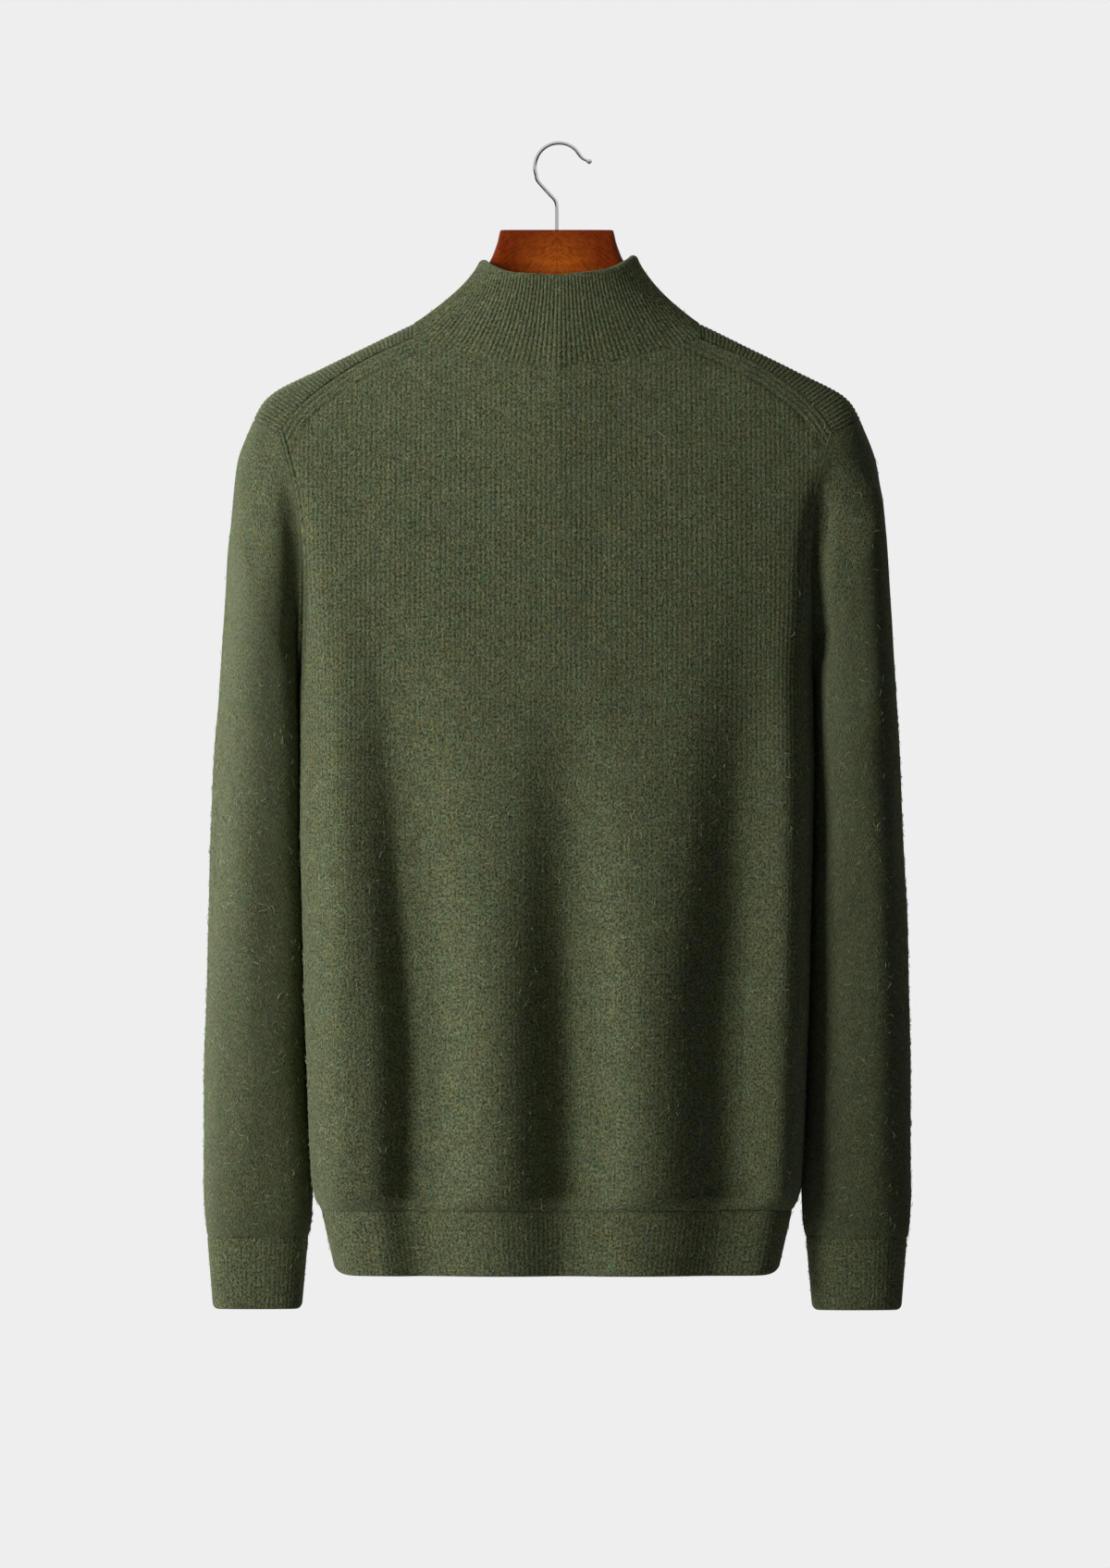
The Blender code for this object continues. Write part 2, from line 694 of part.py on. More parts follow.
def collar_rows(base, shares):
    """Points of the collar from its seam to its rim, at shares of the way round."""
    rim = rim_curve(2001)
    grid = np.linspace(0, 1, len(rim))
    top = np.stack([np.interp(shares, grid, rim[:, k]) for k in range(3)], axis=1)
    rows = []
    for row in range(COLLAR_ROWS + 1):
        t = row / COLLAR_ROWS
        inward = 1 - (1 - t) ** COLLAR_FLARE
        level = base[:, :2] + (top[:, :2] - base[:, :2]) * inward
        height = base[:, 2] + (top[:, 2] - base[:, 2]) * t
        rows.append(np.column_stack([level, height]))
    return np.array(rows)


def collar_panel(front, back):
    places = neck_places(front, back)
    seam = seam_points(places)
    along = lengths_along(seam)
    coarse = Panel(collar_rows(seam, along / along[-1]))
    for spot, refs in enumerate(places):
        refs.append((coarse, 0, spot))
    normals = mean_normals(places)
    ways = unit(np.cross(normals, open_tangents(seam)))
    ways *= np.sign(np.sum(ways * (coarse.points[1] - seam), axis=1, keepdims=True))
    set_seam(places, normals, ways, {id(front): -1, id(back): -1, id(coarse): 1})
    shares = np.linspace(0, 1, 2 * COLLAR_RIBS + 1)
    base = read_along(seam, seam, shares * along[-1])
    collar = Panel(collar_rows(base, shares))
    collar.normals[0] = unit(read_along(seam, normals, shares * along[-1]))
    collar.normals[-1, :, 2] = 0
    collar.normals[-1] = unit(collar.normals[-1])
    collar.shift[0] = unit(read_along(seam, ways, shares * along[-1])) * COLLAR_LIFT
    return collar


def level_loop(panel_refs):
    """Points and flat normals of a closed level loop, with the first point repeated."""
    points = seam_points(panel_refs)
    normals = np.array([refs[0][0].normals[refs[0][1], refs[0][2]] for refs in panel_refs])
    return np.vstack([points, points[:1]]), np.vstack([normals, normals[:1]])


def band_panel(loop, normals, columns, lower, outward):
    """A ribbed band from a level loop down to a lower edge worked out from its points."""
    total = lengths_along(loop)[-1]
    places = np.arange(columns) * total / columns
    top = read_along(loop, loop, places)
    top_normals = unit(read_along(loop, normals, places))
    band = Panel(np.array([top, lower(top)]), wrap=True, outward=outward)
    band.normals[:, :, 2] = 0
    band.normals[0] = top_normals
    band.normals = unit(band.normals)
    band.shift[0, :, 2] = -SEAM_GAP / 2
    return band


def hem_lower(top):
    """The hem's edge: narrower than its seam, and lifted at the two sides."""
    lower = top * (HEM_WIDTH_SHARE, HEM_DEPTH_SHARE, 1.0)
    side = np.abs(top[:, 0]) / np.abs(top[:, 0]).max()
    lower[:, 2] = HEM_EDGE + HEM_SIDE_LIFT * side**HEM_LIFT_POWER
    return lower


def cuff_lower(half):
    """The cuff's edge, level and closer than its seam."""

    def edge(top):
        low, high = np.abs(top[:, 0]).min(), np.abs(top[:, 0]).max()
        share = (np.abs(top[:, 0]) - low) / (high - low)
        across = half * (CUFF_LOW_INNER + share * (CUFF_LOW_OUTER - CUFF_LOW_INNER))
        middle = (top[:, 1].max() + top[:, 1].min()) / 2
        reach = (top[:, 1].max() - top[:, 1].min()) / 2
        deep = middle + (top[:, 1] - middle) * CUFF_LOW_HALF_DEPTH / reach
        height = CUFF_EDGE + CUFF_CORNER_LIFT * np.abs(2 * share - 1) ** 12
        return np.column_stack([across, deep, height])

    return edge


# ---------------------------------------------------------------- meshes


def new_object(name, data, finish):
    """An object of a mesh or a curve, in its own material."""
    colour, roughness, metallic = finish
    material = bpy.data.materials.new(name)
    material.use_nodes = True
    shader = material.node_tree.nodes["Principled BSDF"]
    shader.inputs["Base Color"].default_value = colour
    shader.inputs["Roughness"].default_value = roughness
    shader.inputs["Metallic"].default_value = metallic
    data.materials.append(material)
    thing = bpy.data.objects.new(name, data)
    bpy.data.collections["quarter_zip_sweater"].objects.link(thing)
    return thing


def mesh_of(name, points, faces):
    """A mesh of the points that its faces use."""
    used = sorted({index for face in faces for index in face})
    place = {index: spot for spot, index in enumerate(used)}
    mesh = bpy.data.meshes.new(name)
    corners = [[place[index] for index in face] for face in faces]
    mesh.from_pydata([tuple(points[index]) for index in used], [], corners)
    mesh.validate()
    mesh.shade_smooth()
    mesh.set_sharp_from_angle(angle=math.radians(35))
    return mesh


def wall(name, panel, thickness, finish):
    """A closed wall between a panel's outer and inner grids.

    The first corner of each rim face is chosen by its place, so that two rims that face each
    other across a seam are split into triangles in the same way.
    """
    rows, columns = panel.points.shape[:2]
    count = rows * columns
    points = np.vstack([panel.outer().reshape(-1, 3), panel.inner(thickness).reshape(-1, 3)])
    faces, edges = [], set()
    for row, cell in zip(*np.nonzero(panel.kept)):
        following = (cell + 1) % columns
        corners = [row * columns + cell, row * columns + following]
        corners += [(row + 1) * columns + following, (row + 1) * columns + cell]
        faces.append(corners)
        faces.append([index + count for index in reversed(corners)])
        edges |= set(zip(corners, corners[1:] + corners[:1]))
    for start, end in sorted(edges):
        if (end, start) not in edges:
            rim = [end, start, start + count, end + count]
            turned = (points[end] - points[start]) @ RIM_SPLIT_WAY > 0
            faces.append(rim[1:] + rim[:1] if turned else rim)
    return face_outward(new_object(name, mesh_of(name, points, faces), finish))


def ribbed_wall(name, panel, thickness, group, finish):
    """A closed wall with raised ribs outside and a plain inside.

    Every second outer column stands out by the rib's rise. The inner grid has one column
    for each group of outer columns.
    """
    rows, columns = panel.points.shape[:2]
    crest = (np.arange(columns) % 2)[None, :, None]
    outer = panel.outer() + crest * RIB_RISE * panel.normals
    inner = panel.inner(thickness)[:, ::group]
    inner_columns = inner.shape[1]
    points = np.vstack([outer.reshape(-1, 3), inner.reshape(-1, 3)])
    first = rows * columns
    cells = columns if panel.wrap else columns - 1
    faces = []
    for row in range(rows - 1):
        for cell in range(cells):
            following = (cell + 1) % columns
            faces.append([row * columns + cell, row * columns + following])
            faces[-1] += [(row + 1) * columns + following, (row + 1) * columns + cell]
        for cell in range(cells // group):
            following = (cell + 1) % inner_columns
            near, far = first + row * inner_columns, first + (row + 1) * inner_columns
            faces.append([near + following, near + cell, far + cell, far + following])
    for row in (0, rows - 1):
        for cell in range(cells // group):
            near = first + row * inner_columns + cell
            far = first + row * inner_columns + (cell + 1) % inner_columns
            for step in range(group):
                start = row * columns + (cell * group + step) % columns
                end = row * columns + (cell * group + step + 1) % columns
                faces.append([start, end, near if step < group // 2 else far])
            middle = row * columns + cell * group + group // 2
            faces.append([middle, near, far])
    if not panel.wrap:
        for row in range(rows - 1):
            for outer_column, inner_column in ((0, 0), (columns - 1, inner_columns - 1)):
                near = first + row * inner_columns + inner_column
                low, high = row * columns + outer_column, (row + 1) * columns + outer_column
                faces.append([low, high, near + inner_columns, near])
    return face_outward(new_object(name, mesh_of(name, points, faces), finish))


def face_outward(thing):
    """Turns every face of a closed mesh outward."""
    shape = bmesh.new()
    shape.from_mesh(thing.data)
    bmesh.ops.recalc_face_normals(shape, faces=shape.faces)
    if shape.calc_volume(signed=True) < 0:
        bmesh.ops.reverse_faces(shape, faces=shape.faces)
    shape.to_mesh(thing.data)
    shape.free()
    return thing


# ---------------------------------------------------------------- zip


def zip_path(front, collar, half):
    """Inner points beside the slit from its foot to the rim, with their outward normals."""
    body_inner, collar_inner = front.inner(BODY_WALL), collar.inner(COLLAR_WALL)
    foot = RIDGE_ROW - SLIT_ROWS - 1
    near = list(body_inner[foot:RIDGE_ROW, front_column(0, half)])
    far = list(body_inner[foot:RIDGE_ROW, front_column(1, half)])
    edge, following = (0, COLLAR_GROUP) if half > 0 else (-1, -1 - COLLAR_GROUP)
    near += list(collar_inner[:, edge])
    far += list(collar_inner[:, following])
    near, far = np.array(near), np.array(far)
    normals = unit(np.cross(open_tangents(near), unit(far - near)))
    normals *= np.sign(-normals[:, 1:2])
    return near, far, normals


def strip_wall(name, columns, normals, front_depth, thickness, finish):
    """A thin strip whose outer face lies front_depth behind the given columns of points."""
    points = np.stack(columns, axis=1)
    strip = Panel(points)
    strip.normals = np.repeat(normals[:, None, :], len(columns), axis=1)
    strip.shift = -front_depth * strip.normals
    return wall(name, strip, thickness, finish)


def cut_path(values, heights, low, high):
    """Rows of values between two heights, with rows read at those heights themselves."""
    inside = (heights > low + 1e-4) & (heights < high - 1e-4)
    places = np.concatenate([[low], heights[inside], [high]])
    return np.stack([np.interp(places, heights, values[:, k]) for k in range(3)], axis=1)


def build_zip(front, collar):
    for half, side in ((1, "left"), (-1, "right")):
        near, far, normals = zip_path(front, collar, half)
        heights = near[:, 2]
        top, foot = heights[-1] - TAPE_BELOW_RIM, heights[0]
        near = cut_path(near, heights, foot, top)
        far = cut_path(far, heights, foot, top)
        normals = unit(cut_path(normals, heights, foot, top))
        centre = near.copy()
        centre[:, 0] = half * SEAM_GAP / 2
        reach = near + TAPE_REACH * unit(far - near)
        columns = [centre, near, reach]
        strip_wall("zip_tape_" + side, columns, normals, SEAM_GAP, TAPE_THICKNESS, TAPE)

    near, _, normals = zip_path(front, collar, 1)
    normals[:, 0] = 0
    heights = near[:, 2]
    stop_low = front.points[RIDGE_ROW - SLIT_ROWS, HALF_WALES, 2] + STOP_ABOVE_FOOT
    stop_high = stop_low + STOP_HEIGHT
    chain_low, chain_high = stop_high + SEAM_GAP, heights[-1] - CHAIN_BELOW_RIM
    top_low, top_high = chain_high + SEAM_GAP, chain_high + SEAM_GAP + TOP_STOP_HEIGHT
    near_centre, away = TOP_STOP_SPAN
    pieces = (
        ("zip_chain", -CHAIN_HALF_WIDTH, CHAIN_HALF_WIDTH, chain_low, chain_high),
        ("zip_stop_bottom", -STOP_HALF_WIDTH, STOP_HALF_WIDTH, stop_low, stop_high),
        ("zip_stop_left", near_centre, away, top_low, top_high),
        ("zip_stop_right", -away, -near_centre, top_low, top_high),
    )
    for name, low_across, high_across, low, high in pieces:
        middle = cut_path(near, heights, low, high)
        piece_normals = unit(cut_path(normals, heights, low, high))
        sides = [middle * (0, 1, 1) + (across, 0, 0) for across in (high_across, low_across)]
        strip_wall(name, sides, piece_normals, -CHAIN_THICKNESS, CHAIN_THICKNESS, STEEL)


def primitive_box(name, centre, size, finish, bevel=0.0):
    bpy.ops.mesh.primitive_cube_add(size=1)
    mesh = bpy.context.object.data
    bpy.data.objects.remove(bpy.context.object)
    for vertex in mesh.vertices:
        vertex.co = [vertex.co[k] * size[k] for k in range(3)]
    thing = new_object(name, mesh, finish)
    thing.location = centre
    if bevel:
        rounding = thing.modifiers.new("Bevel", "BEVEL")
        rounding.width = bevel
        rounding.segments = 2
    return thing


def primitive_cylinder(name, centre, radius, length, sides, finish):
    """A cylinder along X."""
    bpy.ops.mesh.primitive_cylinder_add(vertices=sides, radius=radius, depth=length)
    mesh = bpy.context.object.data
    bpy.data.objects.remove(bpy.context.object)
    for vertex in mesh.vertices:
        vertex.co = (vertex.co.z, vertex.co.x, vertex.co.y)
    thing = new_object(name, mesh, finish)
    thing.location = centre
    return thing


def use_as_tool(thing, target, operation):
    """Joins a shape to a target, or cuts it out, and keeps it aside as a cutter."""
    bpy.data.collections["quarter_zip_sweater"].objects.unlink(thing)
    bpy.data.collections["cutters"].objects.link(thing)
    thing.hide_render = True
    thing.display_type = "WIRE"
    step = target.modifiers.new(thing.name, "BOOLEAN")
    step.operation = operation
    step.object = thing
    step.solver = "EXACT"


def build_slider(collar):
    """The slider at the top of the zip, and the pull tab that hangs from its pin."""
    face = collar.outer()[:, 0]
    order = np.argsort(face[:, 2])
    level = face[-1, 2] - SLIDER_BELOW_RIM
    outer_depth = np.interp(level, face[order, 2], face[order, 1])
    chain_face = outer_depth + COLLAR_WALL - CHAIN_THICKNESS
    plate_back = outer_depth - RIB_RISE - SEAM_GAP
    plate_face = plate_back - SLIDER_SIZE[1]
    plate_middle = (plate_back + plate_face) / 2
    hinge = (0.0, plate_face - HINGE_RISE, level + HINGE_ABOVE_CENTRE)
    slider = primitive_box("zip_slider", (0, plate_middle, level), SLIDER_SIZE, STEEL, METAL_ROUNDING)
    core_depth = chain_face - SEAM_GAP - plate_middle
    core_size = (SLIDER_CORE_WIDTH, core_depth, SLIDER_CORE_HEIGHT)
    core = primitive_box("slider_core", (0, plate_middle + core_depth / 2, level), core_size, STEEL)
    use_as_tool(core, slider, "UNION")
    for side, half in (("left", 1), ("right", -1)):
        ear_place = (half * EAR_OFFSET, plate_face - EAR_SIZE[1] / 2 + EAR_SINK, hinge[2])
        ear = primitive_box("slider_ear_" + side, ear_place, EAR_SIZE, STEEL)
        use_as_tool(ear, slider, "UNION")
    pin = primitive_cylinder("slider_pin", hinge, PIN_RADIUS, 2 * EAR_OFFSET, 12, STEEL)
    use_as_tool(pin, slider, "UNION")

    axle = bpy.data.objects.new("zip_pull_hinge", None)
    bpy.data.collections["quarter_zip_sweater"].objects.link(axle)
    axle.location = hinge
    pull = primitive_cylinder("zip_pull", (0, 0, 0), EYE_RADIUS, EYE_LENGTH, 16, STEEL)
    pull.parent = axle
    neck_size = (EYE_LENGTH, PULL_SIZE[1] * 0.9, PULL_NECK_HEIGHT)
    neck_middle = -EYE_BORE - PULL_NECK_HEIGHT / 2
    neck = primitive_box("pull_neck", (0, 0, neck_middle), neck_size, STEEL)
    tab_middle = -PULL_NECK_HEIGHT - PULL_SIZE[2] / 2
    tab = primitive_box("pull_tab", (0, 0, tab_middle), PULL_SIZE, STEEL, METAL_ROUNDING)
    bore = primitive_cylinder("pull_bore", (0, 0, 0), EYE_BORE, EYE_LENGTH * 2, 16, STEEL)
    for piece, operation in ((neck, "UNION"), (tab, "UNION"), (bore, "DIFFERENCE")):
        piece.parent = axle
        use_as_tool(piece, pull, operation)


# ---------------------------------------------------------------- hanger


def wood_points():
    """Level rings of the wood at stations from the right tip to the left tip."""
    stations = [dict(zip(WOOD_COLUMNS, row)) for row in WOOD_SECTIONS]
    rings = []
    for half, chosen in ((-1, stations[:0:-1]), (1, stations)):
        for station in chosen:
            power = station["power"]
            turn = 2 * math.pi * (np.arange(WOOD_SIDES) + 0.5) / WOOD_SIDES
            if power < SQUARE_POWER:
                turn = turn - math.pi / WOOD_SIDES
            cosine, sine = np.cos(turn), np.sin(turn)
            reach = (np.abs(cosine) ** power + np.abs(sine) ** power) ** (-1 / power)
            middle = (station["top"] + station["bottom"]) / 2
            tall = (station["top"] - station["bottom"]) / 2
            deep = station["half_thickness"] * cosine * reach
            height = middle + tall * sine * reach
            rings.append(np.column_stack([np.full(WOOD_SIDES, half * station["across"]), deep, height]))
    return np.array(rings)


def build_hanger():
    rings = wood_points()
    count, sides = rings.shape[:2]
    faces = []
    for row in range(count - 1):
        for side in range(sides):
            following = (side + 1) % sides
            faces.append([row * sides + side, row * sides + following])
            faces[-1] += [(row + 1) * sides + following, (row + 1) * sides + side]
    faces.append(list(range(sides)))
    faces.append(list(range((count - 1) * sides, count * sides)))
    mesh = mesh_of("hanger_body", rings.reshape(-1, 3), faces)
    wood = face_outward(new_object("hanger_body", mesh, WOOD))
    top = WOOD_SECTIONS[0][1]
    bpy.ops.mesh.primitive_cylinder_add(
        vertices=16, radius=WIRE_RADIUS + SEAM_GAP, depth=2 * STEM_DEPTH
    )
    mesh = bpy.context.object.data
    bpy.data.objects.remove(bpy.context.object)
    hole = new_object("stem_hole", mesh, WOOD)
    hole.location = (0, 0, top)
    use_as_tool(hole, wood, "DIFFERENCE")
    build_hook(top - STEM_DEPTH + SEAM_GAP)


def build_hook(foot):
    """The wire hook, from its foot in the wood up its stem and round to its swollen tip."""
    centre_height = WIRE_RADIUS - HOOK_RADIUS + ARC_SAGITTA
    route = [(0.0, foot, 1.0), (0.0, foot + STEM_DEPTH, 1.0)]
    route += [(across, height, 1.0) for across, height in STEM_BEND]
    for degrees in HOOK_ARC:
        angle = math.radians(degrees)
        across = HOOK_CENTRE_ACROSS + HOOK_RADIUS * math.cos(angle)
        route.append((across, centre_height + HOOK_RADIUS * math.sin(angle), 1.0))
    route += HOOK_TIP
    curve = bpy.data.curves.new("hanger_hook", "CURVE")
    curve.dimensions = "3D"
    curve.bevel_depth = WIRE_RADIUS
    curve.bevel_resolution = 2
    curve.use_fill_caps = True
    spline = curve.splines.new("POLY")
    spline.points.add(len(route) - 1)
    for point, (across, height, swell) in zip(spline.points, route):
        point.co = (across, 0, height, 1)
        point.radius = swell
    new_object("hanger_hook", curve, STEEL)


# ---------------------------------------------------------------- garment


def build_garment():
    back, back_top = back_panel()
    front = front_panel(back_top)
    sew_sides(front, back)
    sew_shoulders(front, back)

    hem_places = [[(back, 0, column)] for column in range(back.points.shape[1])]
    hem_places += [[(front, 0, column)] for column in range(front.points.shape[1] - 1, -1, -1)]
    for refs in hem_places:
        panel, row, column = refs[0]
        panel.normals[row, column, 2] = 0
        panel.normals[row, column] = unit(panel.normals[row, column])
        panel.shift[row, column, 2] = SEAM_GAP / 2

    sleeves = {"left": sleeve_panel(front, back, 1), "right": sleeve_panel(front, back, -1)}
    collar = collar_panel(front, back)
    wall("back", back, BODY_WALL, WOOL)
    wall("front", front, BODY_WALL, WOOL)
    ribbed_wall("collar", collar, COLLAR_WALL, COLLAR_GROUP, WOOL)

    corner = back.points.shape[1]
    loop, normals = level_loop(hem_places[:corner] + hem_places[corner + 1 : -1])
    hem = band_panel(loop, normals, 2 * HEM_RIBS, hem_lower, 1)
    ribbed_wall("hem_band", hem, BAND_WALL, HEM_GROUP, WOOL)

    for side, half in (("left", 1), ("right", -1)):
        sleeve = sleeves[side]
        build_sleeve("sleeve_" + side, sleeve)
        places = [[(sleeve, -1, spot)] for spot in range(sleeve.points.shape[1])]
        loop, normals = level_loop(places)
        cuff = band_panel(loop, normals, 2 * CUFF_RIBS, cuff_lower(half), half)
        ribbed_wall("cuff_" + side, cuff, BAND_WALL, CUFF_GROUP, WOOL)

    build_zip(front, collar)
    build_slider(collar)


def main():
    for thing in list(bpy.data.objects):
        bpy.data.objects.remove(thing)
    for name in ("quarter_zip_sweater", "cutters"):
        bpy.context.scene.collection.children.link(bpy.data.collections.new(name))
    build_garment()
    build_hanger()


main()
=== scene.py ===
import math

import bpy
import numpy as np
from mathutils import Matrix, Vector


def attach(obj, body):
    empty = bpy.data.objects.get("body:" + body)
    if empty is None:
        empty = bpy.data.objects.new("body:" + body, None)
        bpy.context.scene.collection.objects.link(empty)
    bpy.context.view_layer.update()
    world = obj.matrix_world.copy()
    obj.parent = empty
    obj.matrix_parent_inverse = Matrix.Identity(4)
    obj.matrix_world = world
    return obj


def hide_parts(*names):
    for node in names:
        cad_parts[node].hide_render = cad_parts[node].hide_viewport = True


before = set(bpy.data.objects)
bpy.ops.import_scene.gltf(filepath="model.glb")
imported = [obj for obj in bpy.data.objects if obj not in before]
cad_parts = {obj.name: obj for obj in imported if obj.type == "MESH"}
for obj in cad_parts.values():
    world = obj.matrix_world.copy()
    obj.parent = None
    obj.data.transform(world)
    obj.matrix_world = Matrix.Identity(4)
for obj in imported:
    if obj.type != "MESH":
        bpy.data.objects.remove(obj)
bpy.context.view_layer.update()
randomDraw = np.random.default_rng(11)
print("frame loaded")


def smoothCurve(keys, values, at):
    # monotone cubic through a table's column
    keys, values = np.array(keys, float), np.array(values, float)
    order = np.argsort(keys)
    keys, values = keys[order], values[order]
    steps = np.diff(keys)
    slopes = np.diff(values) / steps
    tangents = np.empty_like(values)
    tangents[0], tangents[-1] = slopes[0], slopes[-1]
    inner = slopes[:-1] * slopes[1:]
    mean = 2 * inner / np.where(inner > 0, slopes[:-1] + slopes[1:], 1)
    tangents[1:-1] = np.where(inner > 0, mean, 0)
    at = np.clip(np.asarray(at, float), keys[0], keys[-1])
    cell = np.clip(np.searchsorted(keys, at) - 1, 0, len(steps) - 1)
    step = steps[cell]
    t = (at - keys[cell]) / step
    rise = values[cell] * (2 * t**3 - 3 * t**2 + 1) + values[cell + 1] * (3 * t**2 - 2 * t**3)
    lean = tangents[cell] * (t**3 - 2 * t**2 + t) + tangents[cell + 1] * (t**3 - t**2)
    return rise + step * lean


def smoothStep(value):
    value = np.clip(value, 0, 1)
    return value * value * (3 - 2 * value)


def ramp(value, start, full):
    # 0 at the start and 1 where it is full, smooth between
    return smoothStep((value - start) / (full - start))


def bell(distance, width):
    return np.exp(-((distance / width) ** 2))


def unit(vectors):
    return vectors / np.maximum(np.linalg.norm(vectors, axis=-1, keepdims=True), 1e-12)


def denseCurve(points, perSpan=24):
    # Catmull-Rom through a few points
    points = np.array(points, float)
    padded = np.vstack([2 * points[0] - points[1], points, 2 * points[-1] - points[-2]])
    out = []
    for i in range(len(points) - 1):
        a, b, c, d = padded[i : i + 4]
        square, cube = 2 * a - 5 * b + 4 * c - d, 3 * b - a - 3 * c + d
        for t in np.arange(perSpan) / perSpan:
            out.append(b + ((c - a) * t + square * t**2 + cube * t**3) / 2)
    out.append(points[-1])
    return np.array(out)


def lengthsAlong(points):
    return np.concatenate([[0], np.cumsum(np.linalg.norm(np.diff(points, axis=0), axis=1))])


def readAlong(points, values, places):
    along = lengthsAlong(points)
    return np.stack([np.interp(places, along, column) for column in values.T], axis=1)


def curveAtShares(points, shares):
    # points of a smooth curve at shares of its length
    curve = denseCurve(points)
    return readAlong(curve, curve, np.asarray(shares) * lengthsAlong(curve)[-1])


def softNoise(u, v, seed):
    # smooth value noise in -1..1, one bump for each unit of u and v
    table = np.random.default_rng(seed).uniform(-1, 1, (64, 64))
    i, j = np.floor(u).astype(int), np.floor(v).astype(int)
    s, t = smoothStep(u - i), smoothStep(v - j)
    low = table[i % 64, j % 64] * (1 - s) + table[(i + 1) % 64, j % 64] * s
    high = table[i % 64, (j + 1) % 64] * (1 - s) + table[(i + 1) % 64, (j + 1) % 64] * s
    return low * (1 - t) + high * t


def gridNormals(points, wrap):
    along = np.gradient(points, axis=0)
    if wrap:
        across = np.roll(points, -1, axis=1) - np.roll(points, 1, axis=1)
    else:
        across = np.gradient(points, axis=1)
    return unit(np.cross(across, along))


def lengthsOfRows(points):
    # distance of each point along its own row from the row's first point
    steps = np.linalg.norm(np.diff(points, axis=1), axis=2)
    return np.concatenate([np.zeros((len(points), 1)), np.cumsum(steps, axis=1)], axis=1)


def lengthsOfColumns(points):
    return lengthsOfRows(points.transpose(1, 0, 2)).T


def gridQuads(spots):
    return np.stack([spots[:-1, :-1], spots[:-1, 1:], spots[1:, 1:], spots[1:, :-1]], axis=-1)


def newNode(tree, kind, values=None, **settings):
    made = tree.nodes.new(kind)
    for name, value in settings.items():
        setattr(made, name, value)
    for name, value in (values or {}).items():
        made.inputs[name].default_value = value
    return made


def maths(tree, operation, first, second=None):
    made = newNode(tree, "ShaderNodeMath", operation=operation)
    for spot, value in enumerate((first, second)):
        if value is None:
            continue
        if isinstance(value, (int, float)):
            made.inputs[spot].default_value = value
        else:
            tree.links.new(value, made.inputs[spot])
    return made.outputs[0]


def mixColours(tree, factor, first, second, blend="MIX"):
    made = newNode(tree, "ShaderNodeMix", data_type="RGBA", blend_type=blend)
    for name, value in (("Factor", factor), ("A", first), ("B", second)):
        sockets = [s for s in made.inputs if s.name == name and s.enabled]
        if isinstance(value, (int, float, tuple)):
            sockets[0].default_value = value
        else:
            tree.links.new(value, sockets[0])
    return [s for s in made.outputs if s.enabled][0]


def newMaterial(name, values):
    material = bpy.data.materials.new(name)
    material.use_nodes = True
    tree = material.node_tree
    shader = tree.nodes["Principled BSDF"]
    for label, value in values.items():
        shader.inputs[label].default_value = value
    return material, tree, shader


def spread(tree, value, low, high, toLow=0.0, toHigh=1.0, **settings):
    made = newNode(tree, "ShaderNodeMapRange",
                   {"From Min": low, "From Max": high, "To Min": toLow, "To Max": toHigh}, **settings)
    tree.links.new(value, made.inputs["Value"])
    return made.outputs["Result"]


def addNoise(tree, place, values):
    made = newNode(tree, "ShaderNodeTexNoise", values)
    tree.links.new(place, made.inputs["Vector"])
    return made


def addBump(tree, shader, height, strength, distance):
    bump = newNode(tree, "ShaderNodeBump", {"Strength": strength, "Distance": distance})
    tree.links.new(height, bump.inputs["Height"])
    tree.links.new(bump.outputs["Normal"], shader.inputs["Normal"])


def placeParts(tree, kind="Object"):
    parts = newNode(tree, "ShaderNodeSeparateXYZ")
    tree.links.new(newNode(tree, "ShaderNodeTexCoord").outputs[kind], parts.inputs[0])
    return parts.outputs


def mixShaders(tree, ray, first, second):
    # the second is what this kind of ray sees
    mix = newNode(tree, "ShaderNodeMixShader")
    sources = (newNode(tree, "ShaderNodeLightPath").outputs[ray], first, second)
    for spot, source in enumerate(sources):
        tree.links.new(source, mix.inputs[spot])
    return mix.outputs[0]


def newGroup(name, inputs, outputs):
    group = bpy.data.node_groups.new(name, "ShaderNodeTree")
    for label, kind, value in inputs:
        socket = group.interface.new_socket(label, in_out="INPUT", socket_type=kind)
        if value is not None:
            socket.default_value = value
    for label, kind in outputs:
        group.interface.new_socket(label, in_out="OUTPUT", socket_type=kind)
    return group, group.nodes.new("NodeGroupInput"), group.nodes.new("NodeGroupOutput")


# the near-black groove colour is painted shade, laid into grooves and seam lines where shadow would fall
yarnForm = {"acrossWale": 4.8, "courseHeight": 2.5, "loopLean": 1.5, "roughness": 1.3,
            "paintedGrooveShade": (0.008, 0.011, 0.005, 1.0), "bumpDistance": 0.001}


